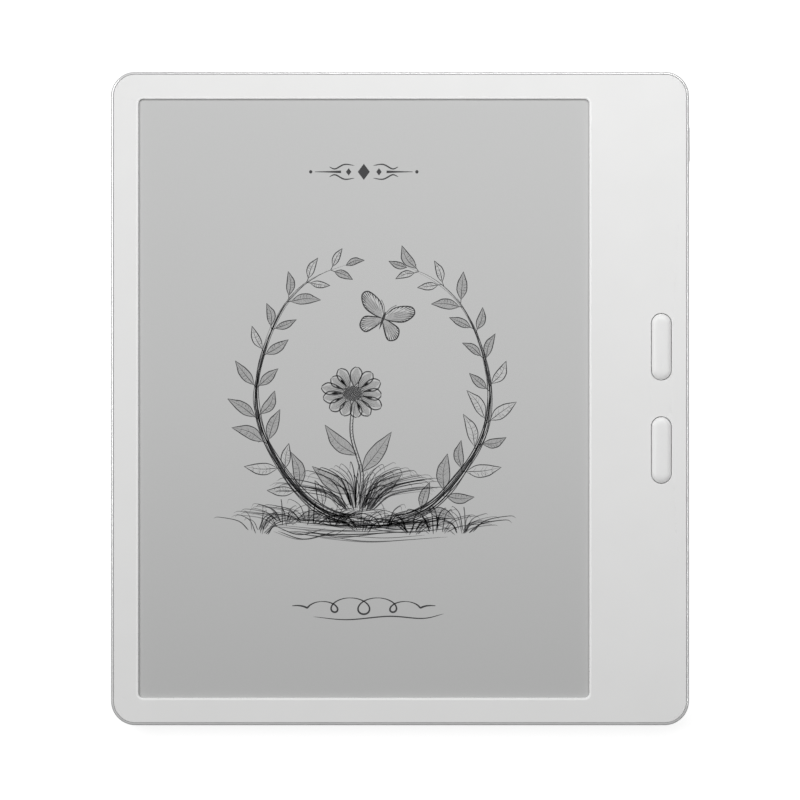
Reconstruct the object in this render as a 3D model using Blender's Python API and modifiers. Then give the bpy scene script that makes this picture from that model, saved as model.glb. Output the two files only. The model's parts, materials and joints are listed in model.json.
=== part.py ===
"""An e-reader with a seven-inch e-paper screen and a wide grip that carries two page keys.

One object is one physical piece. X runs across the face towards the grip, Y up the face and Z out of it.
The origin is the centre of the flat back, so the reader lies face up on z = 0. Lengths are in metres.
"""

import math

import bmesh
import bpy
from mathutils import Matrix, Vector

MM = 0.001

# ---------------------------------------------------------------- driving dimensions

# Housing
BODY_WIDTH = 137.2 * MM
BODY_HEIGHT = 155.1 * MM
BODY_DEPTH = 6.0 * MM
CORNER_RADIUS = 5.8 * MM
BACK_ROUND = 2.8 * MM
RIM_CHAMFER = 0.35 * MM
RIM_WIDTH = 0.68 * MM
WALL = 1.8 * MM
FLOOR = 1.0 * MM
LEDGE_Z = 4.8 * MM
BEZEL_THICKNESS = 1.0 * MM
LIP_THICKNESS = 0.55 * MM

# Gaps between neighbours, between the glued layers of the display and under soldered parts
FIT = 0.3 * MM
GLUE_LINE = 0.08 * MM
SOLDER_GAP = 0.1 * MM

# Window in the bezel
WINDOW_WIDTH = 106.9 * MM
WINDOW_HEIGHT = 142.0 * MM
WINDOW_LEFT_MARGIN = 6.56 * MM
WINDOW_RADIUS = 1.1 * MM
WINDOW_CHAMFER_WIDTH = 0.55 * MM
WINDOW_CHAMFER_DEPTH = 0.35 * MM

# Display stack, from the carrier up
CARRIER_Z = 3.5 * MM
CARRIER_THICKNESS = 0.5 * MM
CARRIER_SIDE_GAP = 1.6 * MM
CARRIER_END_GAP = 1.55 * MM
CARRIER_RIGHT = 49.6 * MM
CARRIER_CORNER = 3.0 * MM
PANEL_THICKNESS = 0.56 * MM
GUIDE_THICKNESS = 0.3 * MM
GUIDE_OVERHANG = 1.1 * MM
FILM_THICKNESS = 0.14 * MM
GASKET_THICKNESS = 0.1 * MM
PANEL_BORDER = 2.0 * MM
STACK_CORNER = 1.0 * MM
LED_STRIP_WIDTH = 1.6 * MM
LED_STRIP_END_GAP = 1.0 * MM

# Page keys, one above the other in the grip
PAGE_KEY_X = 62.0 * MM
PAGE_KEY_Y = 12.25 * MM
PAGE_SLOT_WIDTH = 4.9 * MM
PAGE_SLOT_LENGTH = 15.95 * MM
PAGE_KEY_RISE = 0.5 * MM
PAGE_KEY_DOME = 0.45 * MM
PAGE_FLANGE_THICKNESS = 0.5 * MM
PAGE_FLANGE_LIP = 0.8 * MM
PAGE_NUB_RADIUS = 0.8 * MM
PAGE_NUB_LENGTH = 0.2 * MM

# Board and dome switches below the page keys
KEY_BOARD_LEFT = 58.2 * MM
KEY_BOARD_RIGHT = 65.8 * MM
KEY_BOARD_HALF_LENGTH = 22.0 * MM
KEY_BOARD_Z = 2.85 * MM
KEY_BOARD_THICKNESS = 0.3 * MM
KEY_SWITCH_SIZE = 4.4 * MM
KEY_SWITCH_HEIGHT = 0.45 * MM
KEY_SWITCH_ROUND = 0.2 * MM

# Features along the grip's edge, all on one centre line
PORT_Z = 2.9 * MM
POWER_Y = 60.4 * MM
POWER_KEY_LENGTH = 8.0 * MM
POWER_KEY_HEIGHT = 1.5 * MM
POWER_KEY_PROUD = 0.3 * MM
POWER_KEY_ROUNDING = 0.6
POWER_FLANGE_THICKNESS = 0.9 * MM
POWER_FLANGE_LIP = 0.9 * MM
POWER_FLANGE_STEP = 0.1 * MM
SPEAKER_Y = 39.0 * MM
SPEAKER_HOLES = 7
SPEAKER_HOLE_PITCH = 2.3 * MM
SPEAKER_HOLE_RADIUS = 0.55 * MM
SPEAKER_LENGTH = 20.0 * MM
SPEAKER_WIDTH = 8.0 * MM
SPEAKER_CORNER = 1.0 * MM
MESH_LENGTH = 17.0 * MM
MESH_HEIGHT = 1.8 * MM
MICROPHONE_Y = -28.0 * MM
MICROPHONE_HOLE_RADIUS = 0.45 * MM
MICROPHONE_LEFT = 63.4 * MM
MICROPHONE_LENGTH = 3.0 * MM
MICROPHONE_HEIGHT = 1.0 * MM
USB_Y = -42.0 * MM
USB_SHELL_WIDTH = 8.94 * MM
USB_SHELL_HEIGHT = 3.16 * MM
USB_SHELL_WALL = 0.3 * MM
USB_SHELL_LENGTH = 7.3 * MM
USB_SETBACK = 0.7 * MM
USB_CLEARANCE = 0.15 * MM
USB_BASE_LENGTH = 1.5 * MM
TONGUE_WIDTH = 6.7 * MM
TONGUE_THICKNESS = 0.7 * MM
TONGUE_SETBACK = 0.6 * MM
TRAY_Y = -62.0 * MM
TRAY_FACE_LENGTH = 13.0 * MM
TRAY_FACE_HEIGHT = 1.6 * MM
TRAY_FACE_THICKNESS = 1.05 * MM
TRAY_FACE_ROUNDING = 0.8
TRAY_SETBACK = 0.05 * MM
TRAY_WIDTH = 12.2 * MM
TRAY_LENGTH = 16.2 * MM
TRAY_THICKNESS = 1.1 * MM
CARD_WIDTH = 11.2 * MM
CARD_LENGTH = 15.2 * MM
CARD_POCKET_DEPTH = 0.8 * MM
CARD_SOCKET_HEIGHT = 1.8 * MM
CARD_SOCKET_MARGIN = 0.65 * MM
CARD_SOCKET_WALL = 0.15 * MM
PIN_HOLE_Y = -53.8 * MM
PIN_HOLE_RADIUS = 0.5 * MM

# Main board, which fills the grip
BOARD_Z = 1.2 * MM
BOARD_THICKNESS = 0.7 * MM
BOARD_LEFT = 50.4 * MM
BOARD_RIGHT = 65.4 * MM
BOARD_BOTTOM = -73.0 * MM
BOARD_TOP_END = 66.0 * MM
BOARD_CORNER = 1.5 * MM
SPEAKER_NOTCH_LEFT = 57.4 * MM
SPEAKER_NOTCH_LENGTH = 20.8 * MM

# Parts soldered to the board: lower left corner, size, height (all in millimetres) and finish
BOARD_PARTS = {
    "memory_chip": ((51.6, -21.6), (11.5, 13.0), 0.7, "chip_black"),
    "storage_chip": ((57.0, 11.5), (8.0, 10.0), 0.7, "chip_black"),
    "motion_sensor": ((56.0, -46.5), (2.5, 2.5), 0.9, "chip_black"),
    "power_chip": ((55.0, -5.0), (7.0, 7.0), 0.7, "chip_black"),
    "processor_chip": ((52.6, -35.0), (9.2, 9.2), 0.8, "chip_black"),
    "wifi_module": ((51.0, 32.0), (6.0, 12.0), 1.3, "foil"),
    "battery_plug": ((52.0, 54.0), (4.0, 6.0), 1.4, "connector_tan"),
    "hall_sensor": ((57.5, -52.8), (2.9, 1.6), 1.1, "chip_black"),
    "power_switch": ((63.0, 58.2), (2.2, 4.4), 1.6, "foil"),
}
SHIELD_LOW = (51.2 * MM, -36.4 * MM)
SHIELD_SIZE = 12.0 * MM
SHIELD_HEIGHT = 1.3 * MM
SHIELD_WALL = 0.2 * MM
SHIELD_CORNER = 0.6 * MM
PAD_INSET = 1.0 * MM
PAD_LIFT = 0.05 * MM
PAD_THICKNESS = 0.2 * MM

# Flat cables from the display to the board: level at the start, middle and width, in Y
CABLE_THICKNESS = 0.12 * MM
CABLE_BEND = 0.3 * MM
CABLE_DROP_X = 50.25 * MM
CABLE_END_X = 51.9 * MM
CABLE_CONTACT_HEIGHT = 0.6 * MM
CABLE_START_GAP = 1.8 * MM
DISPLAY_CABLE = (19.0 * MM, 12.0 * MM)
TOUCH_CABLE = (-43.5 * MM, 5.0 * MM)
FRONTLIGHT_CABLE = (28.8 * MM, 2.5 * MM)
CONNECTOR_LENGTH = 3.4 * MM
CONNECTOR_HEIGHT = 1.0 * MM
CONNECTOR_MARGIN = 0.5 * MM
KEY_CABLE_X = 60.5 * MM
KEY_CABLE_WIDTH = 3.0 * MM
KEY_CABLE_REACH = 1.0 * MM

# Wireless antenna: a stamped film stuck to the floor, and its coaxial lead
ANTENNA_LOW = (54.5 * MM, 68.3 * MM)
ANTENNA_HIGH = (64.5 * MM, 73.3 * MM)
ANTENNA_THICKNESS = 0.25 * MM
LEAD_RADIUS = 0.4 * MM
LEAD_ROUTE = (
    (54.5, 44.5, 2.6),
    (55.2, 48.0, 2.6),
    (57.6, 52.0, 2.6),
    (58.5, 57.0, 2.6),
    (58.5, 63.0, 2.6),
    (58.5, 66.8, 2.3),
    (58.5, 67.9, 1.6),
)

# Battery
BATTERY_LOW = (-46.0 * MM, -54.0 * MM)
BATTERY_HIGH = (42.0 * MM, 54.0 * MM)
BATTERY_Z = 1.35 * MM
BATTERY_THICKNESS = 2.0 * MM
BATTERY_CORNER = 1.5 * MM
BATTERY_ROUND = 0.5 * MM
ADHESIVE_INSET = 8.0 * MM
GUARD_BOARD_LEFT = -20.0 * MM
GUARD_BOARD_WIDTH = 4.0 * MM
GUARD_BOARD_THICKNESS = 0.8 * MM
GUARD_BOARD_LIFT = 0.2 * MM
BATTERY_LEAD_WIDTH = 3.4 * MM
BATTERY_LEAD_THICKNESS = 0.3 * MM
BATTERY_LEAD_LEVEL = 3.0 * MM
BATTERY_LEAD_RAMP = 2.0 * MM

# Magnets for a folding cover
MAGNET_LEFT = -61.0 * MM
MAGNET_WIDTH = 3.0 * MM
MAGNET_LENGTH = 12.0 * MM
MAGNET_HEIGHT = 1.5 * MM
MAGNET_Y = 40.0 * MM
MAGNET_CORNER = 0.4 * MM

# Screws
SHANK_RADIUS = 0.6 * MM
HEAD_RADIUS = 0.95 * MM
BOARD_SCREW_HEAD_RADIUS = 1.2 * MM
HEAD_HEIGHT = 0.4 * MM
HEAD_FLAT = 0.85
SOCKET_RADIUS = 0.45 * MM
SOCKET_DEPTH = 0.25 * MM
BORE_RADIUS = 0.9 * MM
BOSS_RADIUS = 1.6 * MM
BORE_FLOOR = 0.4 * MM
CARRIER_SCREW_LEFT_X = -65.4 * MM
CARRIER_SCREW_RIGHT_X = 52.0 * MM
CARRIER_SCREW_LEFT_Y = (-50.0 * MM, 0.0, 50.0 * MM)
CARRIER_SCREW_RIGHT_Y = (-72.0 * MM, 8.0 * MM, 70.5 * MM)
BOARD_SCREWS = (
    (64.2 * MM, 53.6 * MM),
    (64.2 * MM, 25.2 * MM),
    (64.2 * MM, -50.5 * MM),
    (54.0 * MM, -51.5 * MM),
)

# Snap tabs under the bezel: where their middles stand on each side
TAB_LENGTH = 4.0 * MM
TAB_THICKNESS = 0.8 * MM
TAB_BOTTOM = 3.4 * MM
HOOK_LOW = 3.5 * MM
HOOK_HIGH = 3.9 * MM
HOOK_REACH = 0.6 * MM
SIDE_TABS_LEFT = (-62.0 * MM, -25.0 * MM, 25.0 * MM, 62.0 * MM)
SIDE_TABS_RIGHT = (-50.0 * MM, -33.0 * MM, 25.5 * MM, 69.0 * MM)
END_TABS = (-44.0 * MM, 0.0, 40.0 * MM)

# Facets, and the share of a half width that a full round end takes
CORNER_SEGMENTS = 6
BACK_SEGMENTS = 5
SMALL_SEGMENTS = 3
ROUND_SEGMENTS = 12
HOLE_SEGMENTS = 10
BORE_SEGMENTS = 8
FULL_ROUND = 0.99
SMOOTH_ANGLE = math.radians(32)
WELD = 0.00001

# ---------------------------------------------------------------- derived dimensions

HALF_WIDTH = BODY_WIDTH / 2
HALF_HEIGHT = BODY_HEIGHT / 2
WINDOW_LEFT = -HALF_WIDTH + WINDOW_LEFT_MARGIN
WINDOW_RIGHT = WINDOW_LEFT + WINDOW_WIDTH
WINDOW_TOP = WINDOW_HEIGHT / 2
WALL_X = HALF_WIDTH - WALL
WALL_Y = HALF_HEIGHT - WALL
BEZEL_X = HALF_WIDTH - RIM_WIDTH - FIT
BEZEL_Y = HALF_HEIGHT - RIM_WIDTH - FIT
BEZEL_UNDER = BODY_DEPTH - BEZEL_THICKNESS
LIP_UNDER = BODY_DEPTH - LIP_THICKNESS
CARRIER_TOP = CARRIER_Z + CARRIER_THICKNESS
PANEL_Z = CARRIER_TOP + GLUE_LINE
GUIDE_Z = PANEL_Z + PANEL_THICKNESS + GLUE_LINE
FILM_Z = GUIDE_Z + GUIDE_THICKNESS + GLUE_LINE
FILM_TOP = FILM_Z + FILM_THICKNESS
PANEL_LEFT = WINDOW_LEFT - PANEL_BORDER
PANEL_TOP = WINDOW_TOP + PANEL_BORDER
PANEL_RIGHT = WINDOW_RIGHT + PANEL_BORDER
GUIDE_RIGHT = PANEL_RIGHT + GUIDE_OVERHANG
BOARD_TOP = BOARD_Z + BOARD_THICKNESS
PART_Z = BOARD_TOP + SOLDER_GAP
USB_FRONT = HALF_WIDTH - USB_SETBACK
USB_BACK = USB_FRONT - USB_SHELL_LENGTH

# Colour, roughness and metallic value of each finish
FINISHES = {
    "white_plastic": ((0.76, 0.76, 0.755), 0.5, 0.0),
    "key_plastic": ((0.78, 0.78, 0.775), 0.42, 0.0),
    "paper": ((0.47, 0.47, 0.46), 0.65, 0.0),
    "clear_acrylic": ((0.85, 0.87, 0.88), 0.15, 0.0),
    "display_glass": ((0.35, 0.36, 0.36), 0.3, 0.0),
    "black_foam": ((0.02, 0.02, 0.02), 0.9, 0.0),
    "magnesium": ((0.5, 0.5, 0.51), 0.45, 1.0),
    "board_green": ((0.03, 0.16, 0.07), 0.45, 0.0),
    "chip_black": ((0.025, 0.025, 0.028), 0.4, 0.0),
    "flex_amber": ((0.45, 0.2, 0.04), 0.35, 0.0),
    "foil": ((0.6, 0.6, 0.61), 0.3, 1.0),
    "bright_steel": ((0.62, 0.62, 0.63), 0.22, 1.0),
    "dark_mesh": ((0.03, 0.03, 0.03), 0.6, 0.0),
    "connector_tan": ((0.55, 0.48, 0.36), 0.5, 0.0),
    "grey_pad": ((0.3, 0.31, 0.33), 0.85, 0.0),
}

# ---------------------------------------------------------------- scene and materials


def clear_scene():
    for item in list(bpy.data.objects):
        bpy.data.objects.remove(item, do_unlink=True)


def new_collection(name):
    collection = bpy.data.collections.new(name)
    bpy.context.scene.collection.children.link(collection)
    return collection


def new_material(name, finish):
    colour, roughness, metallic = FINISHES[finish]
    material = bpy.data.materials.new(name)
    material.use_nodes = True
    shader = material.node_tree.nodes["Principled BSDF"]
    shader.inputs["Base Color"].default_value = (*colour, 1.0)
    shader.inputs["Roughness"].default_value = roughness
    shader.inputs["Metallic"].default_value = metallic
    material.diffuse_color = (*colour, 1.0)
    return material


clear_scene()
PARTS = new_collection("e_reader")
CUTTERS = new_collection("e_reader_cutters")
ASSEMBLY = bpy.data.objects.new("e_reader_assembly", None)
PARTS.objects.link(ASSEMBLY)

# ---------------------------------------------------------------- modelling helpers


def add_block(bm, low, high, radius=0.0, segments=CORNER_SEGMENTS, axis=2):
    """Adds a box between two corners, with its edges along one axis rounded."""
    made = bmesh.ops.create_cube(bm, size=1.0)["verts"]
    low = Vector(low)
    high = Vector(high)
    bmesh.ops.scale(bm, vec=high - low, verts=made)
    bmesh.ops.translate(bm, vec=(low + high) / 2, verts=made)
    if radius:
        edges = {edge for vert in made for edge in vert.link_edges if runs_along(edge, axis)}
        bmesh.ops.bevel(bm, geom=list(edges), offset=radius, segments=segments, profile=0.5, affect="EDGES")


def runs_along(edge, axis):
    start, end = (vert.co for vert in edge.verts)
    return all(abs(start[i] - end[i]) < WELD for i in range(3) if i != axis)


def round_rim(bm, axis, value, radius, segments):
    """Rounds the edges that lie in the plane where one coordinate has the given value."""
    edges = [edge for edge in bm.edges if all(abs(vert.co[axis] - value) < WELD for vert in edge.verts)]
    bmesh.ops.bevel(bm, geom=edges, offset=radius, segments=segments, profile=0.5, affect="EDGES")


def add_rod(bm, centre, radius, length, axis=2, segments=ROUND_SEGMENTS):
    """Adds a cylinder about its centre, lying along one axis."""
    turn = Matrix.Rotation(math.pi / 2, 4, "Y") if axis == 0 else Matrix.Identity(4)
    place = Matrix.Translation(Vector(centre)) @ turn
    bmesh.ops.create_cone(
        bm, cap_ends=True, segments=segments, radius1=radius, radius2=radius, depth=length, matrix=place
    )


def add_stadium(bm, centre, width, length, low, high, segments=CORNER_SEGMENTS):
    """Adds an upright stadium, long in Y, with full round ends."""
    x, y = centre
    half_width = width / 2
    half_length = length / 2
    start = (x - half_width, y - half_length, low)
    end = (x + half_width, y + half_length, high)
    add_block(bm, start, end, half_width * FULL_ROUND, segments)


def flare(bm, z, grow, corners):
    """Moves the rim of a rounded window outwards where it lies at height z.

    corners holds the window's half sizes less its corner radius, and its centre."""
    (half_x, half_y), (centre_x, centre_y) = corners
    for vert in bm.verts:
        if abs(vert.co.z - z) < WELD:
            x = vert.co.x - centre_x
            y = vert.co.y - centre_y
            outward = Vector((x - max(-half_x, min(half_x, x)), y - max(-half_y, min(half_y, y)), 0.0))
            vert.co += outward.normalized() * grow


def new_mesh(name, bm, origin):
    bmesh.ops.recalc_face_normals(bm, faces=bm.faces)
    bmesh.ops.translate(bm, vec=-Vector(origin), verts=bm.verts)
    mesh = bpy.data.meshes.new(name)
    bm.to_mesh(mesh)
    bm.free()
    mesh.shade_smooth()
    mesh.set_sharp_from_angle(angle=SMOOTH_ANGLE)
    return mesh


def link_part(name, data, finish, origin):
    data.materials.append(new_material(name, finish))
    part = bpy.data.objects.new(name, data)
    PARTS.objects.link(part)
    part.parent = ASSEMBLY
    part.location = origin
    return part


def add_part(name, bm, finish, origin=(0.0, 0.0, 0.0)):
    return link_part(name, new_mesh(name, bm, origin), finish, origin)


def combine(part, operation, name, bm):
    """Cuts a shape from a part, or joins it on, with the shape kept as a hidden guide."""
    cutter = bpy.data.objects.new(name, new_mesh(name, bm, (0.0, 0.0, 0.0)))
    CUTTERS.objects.link(cutter)
    cutter.hide_render = True
    cutter.display_type = "WIRE"
    modifier = part.modifiers.new(name, "BOOLEAN")
    modifier.operation = operation
    modifier.solver = "EXACT"
    modifier.object = cutter


def cut(part, name, bm):
    combine(part, "DIFFERENCE", name, bm)


def join(part, name, bm):
    combine(part, "UNION", name, bm)


def block_part(name, low, high, finish, radius=0.0, segments=SMALL_SEGMENTS):
    bm = bmesh.new()
    add_block(bm, low, high, radius, segments)
    return add_part(name, bm, finish)


def open_can(name, low, high, wall, finish, open_sides, radius=0.0, segments=SMALL_SEGMENTS, axis=2):
    """Adds a thin-walled box with some sides left open: each is an (axis, coordinate) pair."""
    bm = bmesh.new()
    add_block(bm, low, high, radius, segments, axis)
    for side, value in open_sides:
        faces = [face for face in bm.faces if all(abs(vert.co[side] - value) < WELD for vert in face.verts)]
        bmesh.ops.delete(bm, geom=faces, context="FACES_ONLY")
    part = add_part(name, bm, finish)
    walls = part.modifiers.new("walls", "SOLIDIFY")
    walls.thickness = wall
    walls.offset = -1.0
    return part


def rounded_path(corners, radius, steps=2):
    """Returns a flat path through the corners, each inner corner turned on an arc-like curve."""
    path = [Vector(corners[0])]
    for before, corner, after in zip(corners, corners[1:], corners[2:]):
        corner = Vector(corner)
        start = corner + (Vector(before) - corner).normalized() * radius
        end = corner + (Vector(after) - corner).normalized() * radius
        for step in range(steps + 1):
            t = step / steps
            path.append(start * (1 - t) ** 2 + corner * 2 * t * (1 - t) + end * t**2)
    path.append(Vector(corners[-1]))
    return path


def ribbon(name, corners, middle, width, thickness, finish, axis=1):
    """Adds a flat cable: a path in X and Z given a width along Y, or a path in Y and Z along X."""
    curve = bpy.data.curves.new(name, "CURVE")
    curve.dimensions = "2D"
    curve.fill_mode = "NONE"
    curve.extrude = width / 2
    path = rounded_path(corners, CABLE_BEND)
    spline = curve.splines.new("POLY")
    spline.points.add(len(path) - 1)
    for point, place in zip(spline.points, path):
        point.co = (place.x, place.y, 0.0, 1.0)
    origin = (0.0, middle, 0.0) if axis == 1 else (middle, 0.0, 0.0)
    part = link_part(name, curve, finish, origin)
    part.rotation_euler = (math.pi / 2, 0.0, 0.0 if axis == 1 else math.pi / 2)
    skin = part.modifiers.new("thickness", "SOLIDIFY")
    skin.thickness = thickness
    skin.offset = 0.0
    return part


def between(a, b, c, d, t):
    """Returns the point at t from b to c on the smooth curve through four knots."""
    slope = (c - a) * t
    bend = (2 * a - 5 * b + 4 * c - d) * t**2
    twist = (3 * b - a - 3 * c + d) * t**3
    return (2 * b + slope + bend + twist) / 2


def smooth_route(knots, steps):
    """Returns points along a smooth curve through the knots."""
    ends = [knots[0] * 2 - knots[1], *knots, knots[-1] * 2 - knots[-2]]
    spans = zip(ends, ends[1:], ends[2:], ends[3:])
    route = [between(*span, step / steps) for span in spans for step in range(steps)]
    return [*route, knots[-1]]


def tube(name, knots, radius, finish, steps=3):
    """Adds a round lead through knots given in millimetres."""
    curve = bpy.data.curves.new(name, "CURVE")
    curve.dimensions = "3D"
    curve.bevel_depth = radius
    curve.bevel_resolution = 2
    curve.use_fill_caps = True
    route = smooth_route([Vector(knot) * MM for knot in knots], steps)
    spline = curve.splines.new("POLY")
    spline.points.add(len(route) - 1)
    for point, place in zip(spline.points, route):
        point.co = (*place, 1.0)
    return link_part(name, curve, finish, (0.0, 0.0, 0.0))


def screw(name, x, y, seat, tip, head_radius=HEAD_RADIUS):
    """Adds a pan-head screw, turned about Z, from its head on the seat down to its tip."""
    top = seat + HEAD_HEIGHT
    profile = (
        (0.0, top - SOCKET_DEPTH),
        (SOCKET_RADIUS, top - SOCKET_DEPTH),
        (SOCKET_RADIUS, top),
        (head_radius * HEAD_FLAT, top),
        (head_radius, top - HEAD_HEIGHT / 3),
        (head_radius, seat),
        (SHANK_RADIUS, seat),
        (SHANK_RADIUS, tip + SHANK_RADIUS / 2),
        (SHANK_RADIUS / 2, tip),
        (0.0, tip),
    )
    mesh = bpy.data.meshes.new(name)
    points = [(radius, 0.0, z - seat) for radius, z in profile]
    mesh.from_pydata(points, [(i, i + 1) for i in range(len(points) - 1)], [])
    part = link_part(name, mesh, "bright_steel", (x, y, seat))
    turn = part.modifiers.new("turn", "SCREW")
    turn.steps = ROUND_SEGMENTS
    turn.render_steps = ROUND_SEGMENTS
    turn.use_merge_vertices = True
    turn.merge_threshold = WELD
    return part


# ---------------------------------------------------------------- housing


def snap_tabs(low, high, start, end):
    """Adds blocks at every snap tab, from start to end inside the walls' faces and from low to high."""
    bm = bmesh.new()
    half = TAB_LENGTH / 2
    for side, places in ((-1, SIDE_TABS_LEFT), (1, SIDE_TABS_RIGHT)):
        near, far = sorted((side * (WALL_X - start), side * (WALL_X - end)))
        for y in places:
            add_block(bm, (near, y - half, low), (far, y + half, high))
    for side in (-1, 1):
        near, far = sorted((side * (WALL_Y - start), side * (WALL_Y - end)))
        for x in END_TABS:
            add_block(bm, (x - half, near, low), (x + half, far, high))
    return bm


def snap_pockets():
    """Adds the wall pockets that the hooks catch in, a fit larger than the hooks all round."""
    bm = bmesh.new()
    half = TAB_LENGTH / 2 + FIT
    depth = HOOK_REACH + FIT / 2
    inside = WALL / 4
    low = HOOK_LOW - FIT
    high = HOOK_HIGH + FIT
    for side, places in ((-1, SIDE_TABS_LEFT), (1, SIDE_TABS_RIGHT)):
        near, far = sorted((side * (WALL_X - inside), side * (WALL_X + depth)))
        for y in places:
            add_block(bm, (near, y - half, low), (far, y + half, high))
    for side in (-1, 1):
        near, far = sorted((side * (WALL_Y - inside), side * (WALL_Y + depth)))
        for x in END_TABS:
            add_block(bm, (x - half, near, low), (x + half, far, high))
    return bm


def carrier_screw_places():
    left = [(CARRIER_SCREW_LEFT_X, y) for y in CARRIER_SCREW_LEFT_Y]
    return left + [(CARRIER_SCREW_RIGHT_X, y) for y in CARRIER_SCREW_RIGHT_Y]


def make_rear_shell():
    """The tray that forms the back, the sides and the thin rim around the bezel."""
    bm = bmesh.new()
    add_block(bm, (-HALF_WIDTH, -HALF_HEIGHT, 0.0), (HALF_WIDTH, HALF_HEIGHT, BODY_DEPTH), CORNER_RADIUS)
    round_rim(bm, 2, 0.0, BACK_ROUND, BACK_SEGMENTS)
    round_rim(bm, 2, BODY_DEPTH, RIM_CHAMFER, 1)
    shell = add_part("rear_shell", bm, "white_plastic")

    over = BODY_DEPTH + FIT
    bm = bmesh.new()
    add_block(bm, (-WALL_X, -WALL_Y, FLOOR), (WALL_X, WALL_Y, over), CORNER_RADIUS - WALL)
    round_rim(bm, 2, FLOOR, WALL, SMALL_SEGMENTS)
    cut(shell, "shell_cavity", bm)

    bm = bmesh.new()
    seat_x = HALF_WIDTH - RIM_WIDTH
    seat_y = HALF_HEIGHT - RIM_WIDTH
    add_block(bm, (-seat_x, -seat_y, LEDGE_Z), (seat_x, seat_y, over), CORNER_RADIUS - RIM_WIDTH)
    cut(shell, "bezel_seat", bm)

    bm = bmesh.new()
    boss_low = FLOOR - FIT
    boss_high = CARRIER_Z - FIT / 2
    for x, y in carrier_screw_places():
        add_rod(bm, (x, y, (boss_low + boss_high) / 2), BOSS_RADIUS, boss_high - boss_low)
    join(shell, "screw_bosses", bm)

    bm = bmesh.new()
    for x, y in carrier_screw_places():
        middle = (BORE_FLOOR + over) / 2
        add_rod(bm, (x, y, middle), BORE_RADIUS, over - BORE_FLOOR, segments=BORE_SEGMENTS)
    for x, y in BOARD_SCREWS:
        middle = (BORE_FLOOR + BOARD_Z) / 2
        add_rod(bm, (x, y, middle), BORE_RADIUS, BOARD_Z - BORE_FLOOR, segments=BORE_SEGMENTS)
    cut(shell, "screw_bores", bm)
    cut(shell, "snap_pockets", snap_pockets())
    cut_edge_openings(shell)


def edge_slot(y, length, height, rounding, segments=SMALL_SEGMENTS):
    """Returns a bar that opens the grip's side wall around a piece of the given size."""
    inside = WALL_X - WALL
    outside = HALF_WIDTH + FIT
    low = (inside, y - length / 2, PORT_Z - height / 2)
    high = (outside, y + length / 2, PORT_Z + height / 2)
    bm = bmesh.new()
    add_block(bm, low, high, height / 2 * rounding, segments, axis=0)
    return bm


def edge_holes(places, radius):
    """Returns rods that open round holes in the grip's side wall."""
    inside = WALL_X - WALL
    outside = HALF_WIDTH + FIT
    bm = bmesh.new()
    for y in places:
        middle = ((inside + outside) / 2, y, PORT_Z)
        add_rod(bm, middle, radius, outside - inside, axis=0, segments=HOLE_SEGMENTS)
    return bm


def cut_edge_openings(shell):
    """Opens the grip's side wall for the power key, speaker, microphone, USB port, card tray and pin."""
    length = POWER_KEY_LENGTH + 2 * FIT
    height = POWER_KEY_HEIGHT + 2 * FIT
    cut(shell, "power_key_slot", edge_slot(POWER_Y, length, height, POWER_KEY_ROUNDING))
    length = USB_SHELL_WIDTH + 2 * USB_CLEARANCE
    height = USB_SHELL_HEIGHT + 2 * USB_CLEARANCE
    cut(shell, "usb_opening", edge_slot(USB_Y, length, height, FULL_ROUND, CORNER_SEGMENTS))
    length = TRAY_FACE_LENGTH + 2 * FIT
    height = TRAY_FACE_HEIGHT + 2 * FIT
    cut(shell, "card_tray_slot", edge_slot(TRAY_Y, length, height, TRAY_FACE_ROUNDING))

    first = SPEAKER_Y - (SPEAKER_HOLES - 1) / 2 * SPEAKER_HOLE_PITCH
    places = [first + index * SPEAKER_HOLE_PITCH for index in range(SPEAKER_HOLES)]
    cut(shell, "speaker_holes", edge_holes(places, SPEAKER_HOLE_RADIUS))
    cut(shell, "microphone_hole", edge_holes((MICROPHONE_Y,), MICROPHONE_HOLE_RADIUS))
    cut(shell, "tray_pin_hole", edge_holes((PIN_HOLE_Y,), PIN_HOLE_RADIUS))


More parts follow.
